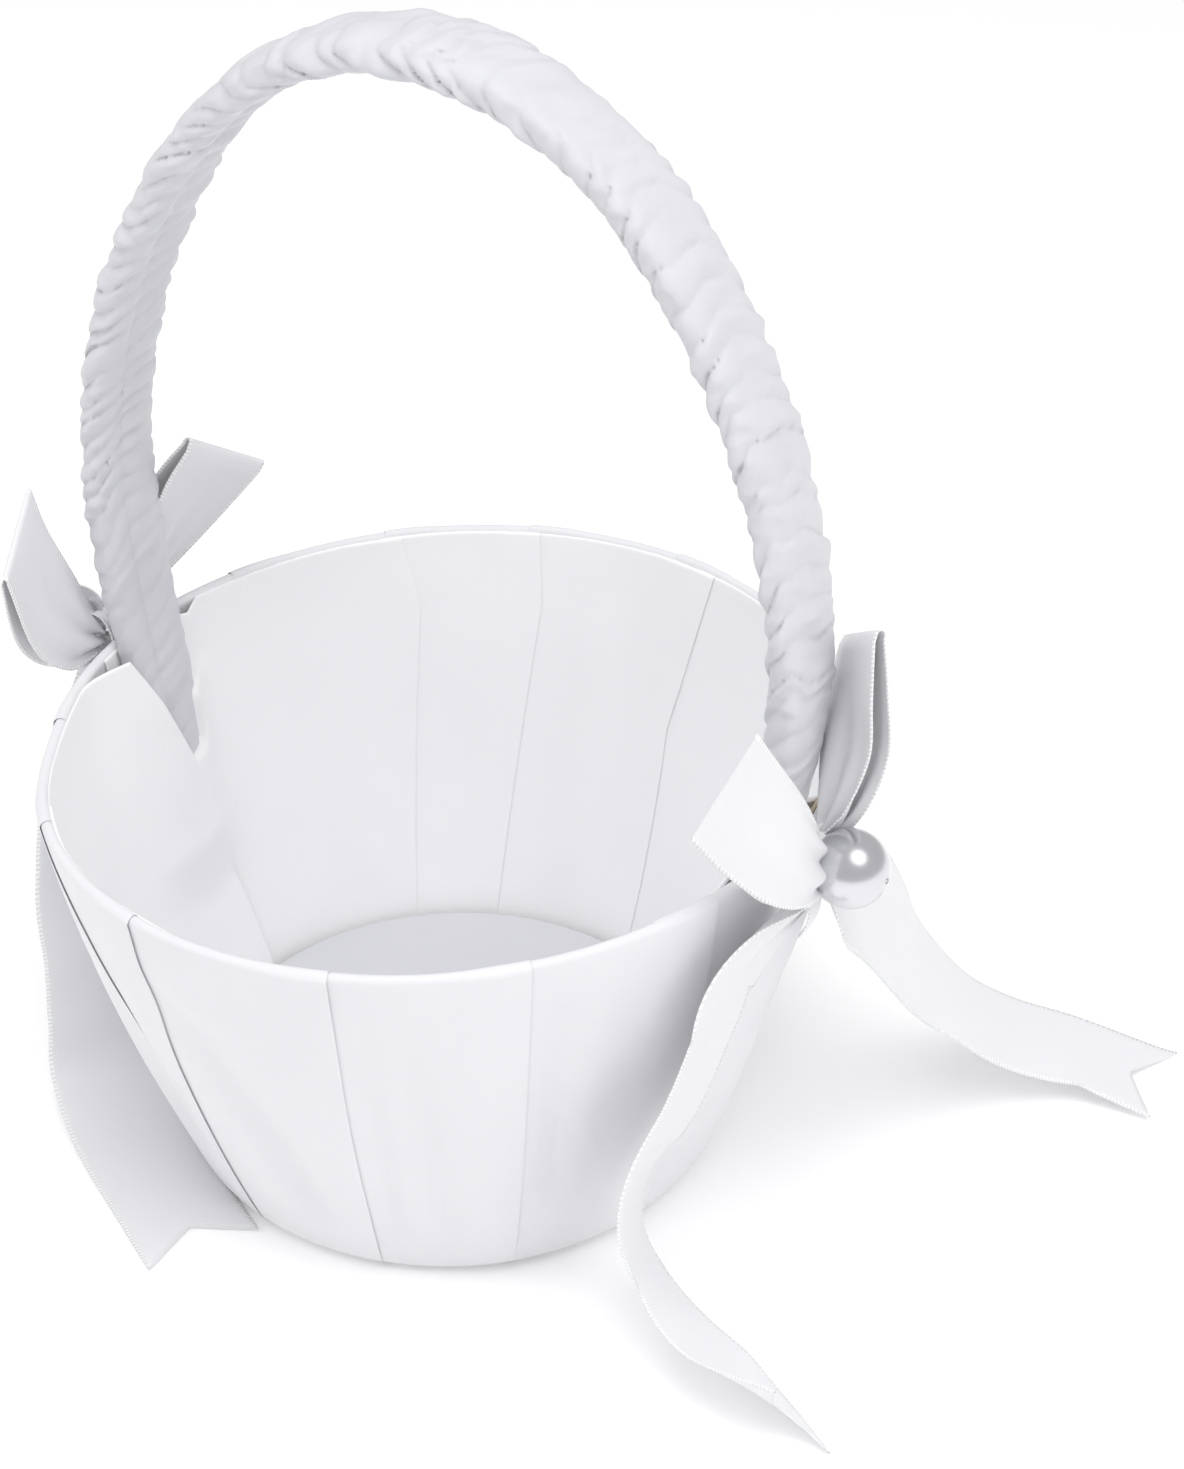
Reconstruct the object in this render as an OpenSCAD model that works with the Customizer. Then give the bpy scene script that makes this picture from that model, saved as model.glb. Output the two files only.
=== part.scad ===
// Flower girl basket: a round satin basket with a gathered strap handle and two ribbon bows.
// Millimetres, +Z up, origin at the centre of the base's underside, handle along X.

/* [Body] */
// Radius of the rim, outside the cloth
rim_r = 82; // [68:0.5:105]
// Height of the rim above the floor
body_h = 97; // [75:0.5:130]
// Radius the straight wall would have at the floor
base_r = 58; // [48:0.5:66]
// How far the wall bows out at half height
wall_bulge = 3.2; // [0:0.1:6]
// Rounding of the bottom corner
corner_r = 3.5; // [2:0.1:6]
// Thickness of the card wall
shell_t = 1.6; // [1:0.1:3]
// Thickness of the satin cover
cover_t = 1.0; // [0.6:0.1:1.6]
// Thickness of the satin lining
lining_t = 0.9; // [0.6:0.1:1.6]

/* [Pleats] */
// Number of folds round the cover and round the lining
pleat_count = 14; // [8:1:20]
// Extra thickness where the cloth is folded over itself
pleat_t = 0.7; // [0.3:0.1:1.2]
// Angle that one fold covers
pleat_arc = 9; // [4:1:14]

/* [Floor] */
// Thickness of the closing sheet under the base
base_sheet_t = 0.8; // [0.5:0.1:1.5]
// Thickness of the base board
base_board_t = 2; // [1.5:0.1:4]
// Thickness of the loose floor card
floor_card_t = 1.2; // [0.8:0.1:2]
// Thickness of the wadding on the floor card
floor_wadding_t = 1.6; // [1:0.1:4]
// Thickness of the satin over the floor
floor_cover_t = 0.6; // [0.4:0.1:1]

/* [Handle] */
// Width of the gathered strap
strap_w = 21; // [16:0.5:28]
// Thickness of the gathered strap
strap_t = 9; // [7.5:0.5:12]
// Radius of the handle's sides, as a share of its half width
side_share = 1.895; // [1.3:0.005:2.6]
// Radius of the handle's top, as a share of its half width
top_share = 0.79; // [0.6:0.005:0.9]
// Width of the flat core strip
core_w = 14; // [10:0.5:15]
// Thickness of the flat core strip
core_t = 2; // [1.5:0.1:2.4]
// Height of the lower end of the feet
foot_z = 52; // [40:1:60]
// Thickness of the pressed foot inside the wall
foot_t = 6; // [5:0.1:7]

/* [Bows] */
// Width of the ribbon
ribbon_w = 25; // [18:0.5:28]
// Thickness of a ribbon tail
ribbon_t = 0.8; // [0.5:0.1:1.2]
// Length of a bow loop from knot to fold
loop_l = 44; // [34:0.5:50]
// Fullest thickness of a bow loop
loop_t = 8; // [5:0.5:10]
// Diameter of the pearl
pearl_d = 16; // [12:0.5:18]

/* [Hidden] */
cloth_gap = 0.1;
wall_steps = 9;
pleat_steps = 4;
round_n = 96;
shell_off = -cover_t - cloth_gap;
lining_off = shell_off - shell_t - cloth_gap;
lining_in = lining_off - lining_t;
hem_z = base_sheet_t + cloth_gap;
hem_t = 0.8;
shell_z = hem_z + hem_t + cloth_gap;
shell_top = body_h - cover_t - cloth_gap;
hem_w = 10;
floor_z = shell_z + base_board_t + cloth_gap;
card_top = floor_z + floor_card_t;
wadding_z = card_top + cloth_gap;
wadding_top = wadding_z + floor_wadding_t;
floor_top = wadding_top + cloth_gap + floor_cover_t;
floor_gap = 1.2;
foot_gap = 0.3;
lining_bottom = floor_z;
pleat_first = -73.8;
lining_first = 128;
pleat_bury = 0.4;

// handle path: a straight foot inside the wall, a wide arc each side, a tighter arc on top
seat_rise = 6;
seat_top_x = wall_r(body_h) + shell_off - shell_t - foot_gap - foot_t / 2;
seat_low_x = wall_r(foot_z) + shell_off - shell_t - foot_gap - foot_t / 2;
lean = atan((seat_top_x - seat_low_x) / (body_h - foot_z));
seat_x = seat_top_x + seat_rise * tan(lean);
seat_z = body_h + seat_rise;
side_r = side_share * seat_x;
top_r = top_share * seat_x;
side_cx = seat_x - side_r * cos(lean);
side_cz = seat_z + side_r * sin(lean);
join_a = acos(-side_cx / (side_r - top_r));
top_cz = side_cz + (side_r - top_r) * sin(join_a);
foot_l = (seat_z - foot_z) / cos(lean);
neck_l = 4;
side_steps = 14;
top_steps = 9;
sleeve_t = 1.1;
wadding_w = strap_w - 2 * sleeve_t - 2 * cloth_gap;
wadding_t = strap_t - 2 * sleeve_t - 2 * cloth_gap;
foot_w = strap_w - 2;

// rivets through foot and wall
rivet_r = 1.5;
rivet_head_r = 3;
rivet_head_t = 0.5;
rivet_z = [62, 78];
rivet_hole_gap = 0.1;

// bows
bow_gap = 0.3;
knot_x = rim_r + pleat_t + bow_gap;
knot_d = 4.6;
knot_w = 10;
knot_h = 11;
knot_z = body_h - 2;
pearl_x = knot_x + knot_d + 0.1 + pearl_d / 2;
pearl_y = -2;
pin_r = 0.5;
floor_clear = 1.5;
loop_s = loop_l / 44;

// outer radius of the cloth cover at height z
function wall_r(z) =
    let (k = z / body_h)
    let (c = z < corner_r ? corner_r - sqrt(corner_r * corner_r - pow(corner_r - z, 2)) : 0)
    base_r + (rim_r - base_r) * k + wall_bulge * 4 * k * (1 - k) - c;

// points up the wall, closer together near the rounded bottom corner
function wall_side(off, z0, z1, n) =
    [for (i = [0:n]) let (z = z0 + (z1 - z0) * pow(i / n, 1.7)) [wall_r(z) + off, z]];

function back_way(p) = [for (i = [len(p) - 1:-1:0]) p[i]];

module wall_ring(out_off, in_off, z0, z1, n) {
    polygon(concat(wall_side(out_off, z0, z1, n), back_way(wall_side(in_off, z0, z1, n))));
}

module shell_wall() {
    color([0.80, 0.72, 0.60])
    difference() {
        rotate_extrude($fn = round_n)
        wall_ring(shell_off, shell_off - shell_t, shell_z, shell_top, wall_steps);
        rivet_holes();
    }
}

module base_board() {
    color([0.80, 0.72, 0.60])
    translate([0, 0, shell_z])
    cylinder(r = wall_r(shell_z) + shell_off - shell_t - cloth_gap, h = base_board_t, $fn = round_n);
}

module base_sheet() {
    color([0.94, 0.94, 0.93])
    cylinder(r = wall_r(hem_z) - 1.5, h = base_sheet_t, $fn = round_n);
}

module outer_cover() {
    color([0.97, 0.97, 0.97])
    difference() {
        union() {
            rotate_extrude($fn = round_n)
            union() {
                wall_ring(0, -cover_t, hem_z, body_h, wall_steps);
                translate([rim_r + lining_off, body_h - cover_t])
                square([-lining_off, cover_t]);
                translate([wall_r(hem_z) - hem_w, hem_z])
                square([hem_w, hem_t]);
            }
            pleats(pleat_first, corner_r + 2, body_h - 0.2, -pleat_bury, pleat_t);
        }
        for (side = [0, 1])
        mirror([side, 0, 0])
        for (z = rivet_z)
        translate([rivet_in(z), 0, z])
        rotate([0, 90, 0])
        cylinder(r = rivet_head_r + 0.3, h = rivet_out(z) - rivet_in(z) + 0.1, $fn = 36);
    }
}

// thin wedges where each fold lies over the next one
module pleats(first, z0, z1, in_off, out_off) {
    for (i = [0:pleat_count - 1])
    rotate([0, 0, first + i * 360 / pleat_count - pleat_arc])
    rotate_extrude(angle = pleat_arc, $fn = round_n)
    wall_ring(out_off, in_off, z0, z1, pleat_steps);
}

module inner_lining() {
    color([0.98, 0.98, 0.97])
    difference() {
        union() {
            rotate_extrude($fn = round_n)
            wall_ring(lining_off, lining_in, lining_bottom, shell_top, wall_steps);
            pleats(lining_first, floor_top + 3, shell_top - 0.4,
                   lining_in - pleat_t, lining_in + pleat_bury);
        }
        for (side = [0, 1])
        mirror([side, 0, 0])
        foot_clearance();
    }
}

// slot in the lining that a foot of the handle passes through
module foot_clearance() {
    slot_w = foot_w + 2 * foot_gap;
    translate([seat_low_x - strap_t, -slot_w / 2, foot_z - 1.5])
    cube([rim_r, slot_w, body_h]);
}

floor_r = wall_r(floor_z) + lining_in - floor_gap;

module floor_card() {
    color([0.80, 0.72, 0.60])
    translate([0, 0, floor_z])
    cylinder(r = floor_r - floor_cover_t - cloth_gap, h = floor_card_t, $fn = round_n);
}

module floor_wadding() {
    color([0.93, 0.93, 0.92])
    translate([0, 0, wadding_z])
    cylinder(r = floor_r - floor_cover_t - cloth_gap, h = floor_wadding_t, $fn = round_n);
}

module floor_cover() {
    color([0.98, 0.98, 0.97])
    difference() {
        translate([0, 0, floor_z])
        cylinder(r = floor_r, h = floor_top - floor_z, $fn = round_n);
        translate([0, 0, floor_z - 1])
        cylinder(r = floor_r - floor_cover_t, h = floor_top - floor_cover_t - floor_z + 1, $fn = round_n);
    }
}

// flat oval: thickness along the first axis, width along the second
module oval(t, w) {
    square([t, w - t], center = true);
    for (s = [-1, 1])
    translate([0, s * (w - t) / 2])
    circle(d = t, $fn = 48);
}

// centre line of the right half, from s below the seat up to the top: [x, z, angle of the outward side]
function right_half(s) = concat(
    [[seat_x - s * sin(lean), seat_z - s * cos(lean), -lean]],
    [for (i = [0:side_steps]) let (a = -lean + (join_a + lean) * i / side_steps)
        [side_cx + side_r * cos(a), side_cz + side_r * sin(a), a]],
    [for (i = [1:top_steps]) let (a = join_a + (90 - join_a) * i / top_steps)
        [top_r * cos(a), top_cz + top_r * sin(a), a]]
);
function moved(p, d) = [for (q = p) [q[0] + d * cos(q[2]), q[1] + d * sin(q[2])]];
function mirrored(p) = [for (i = [len(p) - 2:-1:0]) [-p[i][0], p[i][1]]];
function whole_arch(s, d) = let (h = moved(right_half(s), d)) concat(h, mirrored(h));

// a band of thickness t and width w along the arch, ending s below the seat
module band(t, w, s) {
    rotate([90, 0, 0])
    linear_extrude(w, center = true)
    polygon(concat(whole_arch(s, t / 2), back_way(whole_arch(s, -t / 2))));
}

// three bands that together make the rounded strap section, each ending a little short of the last
module strap(t, w, s) {
    for (k = [[1, 0.72, 0], [0.8, 0.36, 0.3], [0.48, 0, 0.6]])
    band(t * k[0], w - t * k[1], s - k[2]);
}

// straight lengths below the seat, from a down to b
module legs(a, b) {
    for (side = [0, 1])
    mirror([side, 0, 0])
    translate([seat_x, 0, seat_z])
    rotate([0, lean, 0])
    translate([0, 0, -b])
    linear_extrude(b - a)
    children();
}

module handle_core() {
    color([0.88, 0.88, 0.86])
    difference() {
        band(core_t, core_w, foot_l - 2);
        rivet_holes();
    }
}

module handle_wadding() {
    color([0.93, 0.93, 0.92])
    difference() {
        strap(wadding_t, wadding_w, neck_l - sleeve_t - cloth_gap);
        core_room();
    }
}

module core_room() {
    band(core_t + 2 * cloth_gap, core_w + 2 * cloth_gap, foot_l + 1);
}

module handle_sleeve() {
    color([0.97, 0.97, 0.97])
    difference() {
        union() {
            strap(strap_t, strap_w, neck_l);
            legs(neck_l - sleeve_t * 0.7, foot_l) oval(foot_t, foot_w);
        }
        strap(strap_t - 2 * sleeve_t, strap_w - 2 * sleeve_t, neck_l - sleeve_t);
        core_room();
        rivet_holes();
    }
}

// rivets run along X from the inner face of the foot to just under the cover
function foot_x(z) = seat_x - (seat_z - z) * tan(lean);
function rivet_in(z) = foot_x(z) - foot_t / 2 / cos(lean) - rivet_head_t - 0.6;
function rivet_out(z) = wall_r(z - rivet_head_r) + shell_off + rivet_head_t + 0.9;

module rivet_holes() {
    for (side = [0, 1])
    mirror([side, 0, 0])
    for (z = rivet_z)
    translate([rivet_in(z) - 1, 0, z])
    rotate([0, 90, 0])
    cylinder(r = rivet_r + rivet_hole_gap, h = rim_r, $fn = 36);
}

module foot_rivets() {
    color([0.75, 0.75, 0.76])
    for (side = [0, 1])
    mirror([side, 0, 0])
    for (z = rivet_z)
    translate([rivet_in(z), 0, z])
    rotate([0, 90, 0]) {
        cylinder(r = rivet_r, h = rivet_out(z) - rivet_in(z), $fn = 36);
        cylinder(r = rivet_head_r, h = rivet_head_t, $fn = 36);
        translate([0, 0, rivet_out(z) - rivet_in(z) - rivet_head_t])
        cylinder(r = rivet_head_r, h = rivet_head_t, $fn = 36);
    }
}

// ribbon pieces: each station is [centre, width vector, thickness]
function unit(v) = v / norm(v);
function along(s, i) =
    unit(s[min(i + 1, len(s) - 1)][0] - s[max(i - 1, 0)][0]);
function square_to(w, t) = unit(w - t * (w * t)) * norm(w);
function corners(s, i) =
    let (t = along(s, i), w = square_to(s[i][1], t) / 2, n = unit(cross(t, w)) * s[i][2] / 2)
    [s[i][0] + w + n, s[i][0] - w + n, s[i][0] - w - n, s[i][0] + w - n];

module ribbon(s) {
    last = (len(s) - 1) * 4;
    polyhedron(
        points = [for (i = [0:len(s) - 1]) each corners(s, i)],
        faces = concat(
            [[0, 1, 2], [0, 2, 3]],
            [[last + 2, last + 1, last], [last + 3, last + 2, last]],
            [for (i = [0:len(s) - 2], k = [0:3]) let (a = i * 4 + k, b = i * 4 + (k + 1) % 4)
                [a, a + 4, b + 4]],
            [for (i = [0:len(s) - 2], k = [0:3]) let (a = i * 4 + k, b = i * 4 + (k + 1) % 4)
                [a, b + 4, b]]
        )
    );
}

// a loop: pinched at the knot, full in the middle, flat at the fold
module loop(start, dir, across) {
    d = unit(dir) * loop_l;
    w = unit(across);
    ribbon([
        [start, w * 7, 3.5],
        [start + d * 0.22, w * ribbon_w * 0.72, loop_t * 0.75],
        [start + d * 0.55, w * ribbon_w * 0.96, loop_t],
        [start + d * 0.85, w * ribbon_w, loop_t * 0.55],
        [start + d, w * ribbon_w, 1.4]
    ]);
}

// a tail from the knot to the floor: way points are [out from knot, along, share of height]
module tail(way, across, notch) {
    top = knot_z - knot_h / 2 - bow_gap;
    low = floor_clear + ribbon_t / 2;
    s = [for (i = [0:len(way) - 1])
        [[knot_x + way[i][0], way[i][1], low + way[i][2] * (top - low)],
         unit(across[i]) * (i == 0 ? 7 : ribbon_w), ribbon_t]];
    n = len(s) - 1;
    p = s[n][0];
    d = along(s, n);
    w = unit(square_to(s[n][1], d));
    up = cross(d, w);
    difference() {
        ribbon(s);
        multmatrix([[d[0], w[0], up[0], p[0]], [d[1], w[1], up[1], p[1]], [d[2], w[2], up[2], p[2]]])
        linear_extrude(8, center = true)
        polygon([[-notch, 0], [2, -notch * 0.75], [2, notch * 0.75]]);
    }
}

module knot() {
    color([0.97, 0.97, 0.97])
    difference() {
        union() {
            translate([knot_x, -knot_w / 2, knot_z - knot_h / 2])
            cube([knot_d, knot_w, knot_h]);
            translate([knot_x, -knot_w / 2, knot_z - knot_h / 2 - 8])
            cube([ribbon_t, 3.5, 9]);
        }
        translate([knot_x - 1, pearl_y, knot_z])
        rotate([0, 90, 0])
        cylinder(r = pin_r + rivet_hole_gap, h = knot_d + 2, $fn = 24);
    }
}

module pearl() {
    color([0.93, 0.93, 0.94])
    difference() {
        translate([pearl_x, pearl_y, knot_z])
        sphere(d = pearl_d, $fn = 64);
        translate([pearl_x - pearl_d, pearl_y, knot_z])
        rotate([0, 90, 0])
        cylinder(r = pin_r + rivet_hole_gap, h = pearl_d * 1.3, $fn = 24);
    }
}

module pearl_pins() {
    color([0.75, 0.75, 0.76])
    for (side = [0, 1])
    mirror([side, 0, 0])
    translate([knot_x + 0.2, pearl_y, knot_z])
    rotate([0, 90, 0])
    cylinder(r = pin_r, h = pearl_x - knot_x + pearl_d * 0.25, $fn = 24);
}

module right_knot() {
    knot();
}

module left_knot() {
    mirror([1, 0, 0]) knot();
}

module right_pearl() {
    pearl();
}

module left_pearl() {
    mirror([1, 0, 0]) pearl();
}

module right_front_loop() {
    color([0.97, 0.97, 0.97])
    loop([knot_x + 2.3, -knot_w / 2 - bow_gap - 1.8, knot_z + 1], [-6, -27, 31], [9, 10, 20]);
}

module right_back_loop() {
    color([0.97, 0.97, 0.97])
    loop([knot_x + 2.3, knot_w / 2 + bow_gap + 1.8, knot_z + 2], [3, 10, 46], [14, -17, 6]);
}

module left_front_loop() {
    color([0.97, 0.97, 0.97])
    loop([-knot_x - 2.3, -knot_w / 2 - bow_gap - 1.8, knot_z + 1], [-2, -20, 33], [-8, 20, 10]);
}

module left_back_loop() {
    color([0.97, 0.97, 0.97])
    loop([-knot_x - 2.3, knot_w / 2 + bow_gap + 1.8, knot_z + 1], [12, 25, 35], [4, -20, 14]);
}

module right_front_tail() {
    color([0.97, 0.97, 0.97])
    tail([[2.4, -4.2, 1], [-4, -22.8, 0.88], [-6.3, -27.3, 0.755], [-9, -34, 0.6], [-12, -40.5, 0.49],
          [-14.5, -43, 0.385], [-14.7, -43.8, 0.288], [-13.3, -44.5, 0.213], [-9, -46, 0.156],
          [-1, -49, 0.11], [8, -52, 0.09], [17, -56, 0.09], [32, -62.5, 0.118]],
         [[0, 18, 0], [-1, 19, -16], [-2, 19, -16], [-2, 20, -15], [-1, 23, -9], [-4, 25, -3],
          [-8, 23, -3], [-9, 21, -9], [-4, 20, -14], [1, 20, -15], [6, 19, -15], [8, 16, -18],
          [7, 10, -22]], 8);
}

module right_back_tail() {
    color([0.97, 0.97, 0.97])
    tail([[2.4, 4.2, 1], [6, 20, 0.8], [8, 31, 0.62], [9, 41, 0.46], [13, 51, 0.31],
          [18, 59, 0.19], [26, 67, 0.1], [35, 73, 0.05], [45, 75, 0.02], [55, 76, 0]],
         [[0, 18, 0], [-4, 23, 6], [-7, 22, 8], [-10, 21, 8], [-13, 20, 6], [-14, 20, 4],
          [-14, 21, 2], [-12, 22, 0], [-12, 22, 0], [-12, 22, 0]], 8);
}

module left_front_tail() {
    color([0.97, 0.97, 0.97])
    mirror([1, 0, 0])
    tail([[2.4, -4.2, 1], [3, -10, 0.77], [-2, -22, 0.5], [-7, -27, 0.34], [-11, -32, 0.2],
          [-16, -38, 0.08], [-29, -48, 0.01], [-48, -60, 0], [-64, -70, 0]],
         [[0, 18, 0], [0, 22, 8], [0, 22, 11], [-3, 23, 9], [-5, 23, 7], [-8, 23, 3],
          [-10, 21, 0], [-10, 21, 0], [-10, 21, 0]], 8);
}

module left_back_tail() {
    color([0.97, 0.97, 0.97])
    mirror([1, 0, 0])
    tail([[2.4, 4.2, 1], [3, 12, 0.8], [0, 22, 0.6], [-6, 31, 0.4], [-14, 40, 0.2],
          [-20, 48, 0.06], [-22, 59, 0], [-20, 72, 0]],
         [[0, 18, 0], [0, 23, -6], [-5, 23, -7], [-10, 21, -7], [-15, 18, -5],
          [-19, 15, -2], [-22, 9, 0], [-23, 4, 0]], 8);
}

shell_wall();
base_board();
base_sheet();
outer_cover();
inner_lining();
floor_card();
floor_wadding();
floor_cover();
handle_core();
handle_wadding();
handle_sleeve();
foot_rivets();
right_knot();
right_front_loop();
right_back_loop();
right_front_tail();
right_back_tail();
right_pearl();
left_knot();
left_front_loop();
left_back_loop();
left_front_tail();
left_back_tail();
left_pearl();
pearl_pins();
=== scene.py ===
import math
import random
import bpy
import numpy as np
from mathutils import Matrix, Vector, noise


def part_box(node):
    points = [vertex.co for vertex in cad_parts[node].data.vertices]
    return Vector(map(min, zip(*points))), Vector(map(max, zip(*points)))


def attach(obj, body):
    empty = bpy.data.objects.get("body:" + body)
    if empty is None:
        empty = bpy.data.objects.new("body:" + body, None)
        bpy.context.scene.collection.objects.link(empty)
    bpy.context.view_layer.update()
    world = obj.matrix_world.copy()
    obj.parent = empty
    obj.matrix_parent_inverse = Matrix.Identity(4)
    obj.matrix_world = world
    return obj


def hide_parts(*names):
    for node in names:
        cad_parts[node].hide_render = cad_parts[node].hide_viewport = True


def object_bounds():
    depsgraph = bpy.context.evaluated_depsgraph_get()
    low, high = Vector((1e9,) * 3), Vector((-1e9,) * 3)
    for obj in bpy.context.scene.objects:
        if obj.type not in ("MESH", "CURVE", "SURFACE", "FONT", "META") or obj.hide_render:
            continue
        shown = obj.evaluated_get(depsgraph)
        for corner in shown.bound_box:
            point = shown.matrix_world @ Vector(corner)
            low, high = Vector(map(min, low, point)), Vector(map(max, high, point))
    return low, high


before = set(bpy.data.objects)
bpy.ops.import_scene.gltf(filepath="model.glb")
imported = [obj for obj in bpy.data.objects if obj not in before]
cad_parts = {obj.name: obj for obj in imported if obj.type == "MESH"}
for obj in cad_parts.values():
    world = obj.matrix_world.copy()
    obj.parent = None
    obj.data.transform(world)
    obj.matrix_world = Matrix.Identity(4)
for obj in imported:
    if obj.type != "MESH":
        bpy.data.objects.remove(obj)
cadLow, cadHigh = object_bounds()
mm = 0.001
print("frame loaded:", len(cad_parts), "CAD pieces")


# small helpers: colours, nodes, meshes

def linearColour(hexText):
    parts = [int(hexText[i:i + 2], 16) / 255 for i in (0, 2, 4)]
    return [c / 12.92 if c <= 0.04045 else ((c + 0.055) / 1.055) ** 2.4 for c in parts] + [1]


def addNode(tree, kind, inputs=None, **settings):
    # adds one node, sets its options, then fills or links its inputs
    node = tree.nodes.new(kind)
    for option, value in settings.items():
        setattr(node, option, value)
    for socketName, value in (inputs or {}).items():
        if isinstance(value, bpy.types.NodeSocket):
            tree.links.new(value, node.inputs[socketName])
        else:
            node.inputs[socketName].default_value = value
    return node


def emptyMaterial(name):
    material = bpy.data.materials.new(name)
    material.use_nodes = True
    material.node_tree.nodes.clear()
    return material, material.node_tree


def smoothStep(x, low, high):
    t = np.clip((np.asarray(x, float) - low) / (high - low), 0, 1)
    return t * t * (3 - 2 * t)


def gridObject(name, points, uv, material, wrapped=False):
    # points is rows x columns x 3 in millimetres, uv is the cloth's own flat coordinates in metres
    rows, columns = points.shape[:2]
    mesh = bpy.data.meshes.new(name)
    last = columns if wrapped else columns - 1
    faces = []
    corners = []
    for i in range(rows - 1):
        for j in range(last):
            k = (j + 1) % columns
            faces.append((i * columns + j, i * columns + k, (i + 1) * columns + k, (i + 1) * columns + j))
            corners += [uv[i, j], uv[i, j + 1], uv[i + 1, j + 1], uv[i + 1, j]]
    mesh.from_pydata((points.reshape(-1, 3) * mm).tolist(), [], faces)
    layer = mesh.uv_layers.new(name="cloth")
    layer.data.foreach_set("uv", np.array(corners, np.float32).ravel())
    mesh.materials.append(material)
    mesh.shade_smooth()
    piece = bpy.data.objects.new(name, mesh)
    bpy.context.scene.collection.objects.link(piece)
    return piece


def discObject(name, profile, steps, material):
    # a round piece from (radius, height) points, centre first, all in millimetres
    turn = np.linspace(0, 2 * math.pi, steps, endpoint=False)
    points = np.zeros((len(profile), steps, 3))
    for i, (radius, height) in enumerate(profile):
        points[i, :, 0] = radius * np.cos(turn)
        points[i, :, 1] = radius * np.sin(turn)
        points[i, :, 2] = height
    uv = np.zeros((len(profile), steps + 1, 2))
    uv[:, :steps] = points[:, :, :2] * mm
    uv[:, steps] = uv[:, 0]
    return gridObject(name, points, uv, material, wrapped=True)


def thicken(piece, thickness, offset=0):
    solid = piece.modifiers.new("thickness", "SOLIDIFY")
    solid.thickness = thickness * mm
    solid.offset = offset


def smoothPath(stations, count):
    # an even, rounded path through rows of numbers (the first three are the place)
    stations = np.asarray(stations, float)
    padded = np.vstack([2 * stations[0] - stations[1], stations, 2 * stations[-1] - stations[-2]])
    dense = []
    for i in range(1, len(padded) - 2):
        a, b, c, d = padded[i - 1:i + 3]
        for t in np.linspace(0, 1, 24, endpoint=False):
            dense.append(0.5 * (2 * b + (c - a) * t + (2 * a - 5 * b + 4 * c - d) * t * t
                                + (3 * b - a - 3 * c + d) * t ** 3))
    dense.append(stations[-1])
    dense = np.array(dense)
    step = np.linalg.norm(np.diff(dense[:, :3], axis=0), axis=1)
    length = np.concatenate([[0], np.cumsum(step)])
    even = np.linspace(0, length[-1], count)
    path = np.stack([np.interp(even, length, dense[:, k]) for k in range(dense.shape[1])], axis=1)
    return path, even


def unitRows(v):
    return v / np.maximum(np.linalg.norm(v, axis=-1, keepdims=True), 1e-9)


# materials

# a wave texture's bands are this far apart, in metres, at scale 1
bandPitch = 0.314


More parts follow.
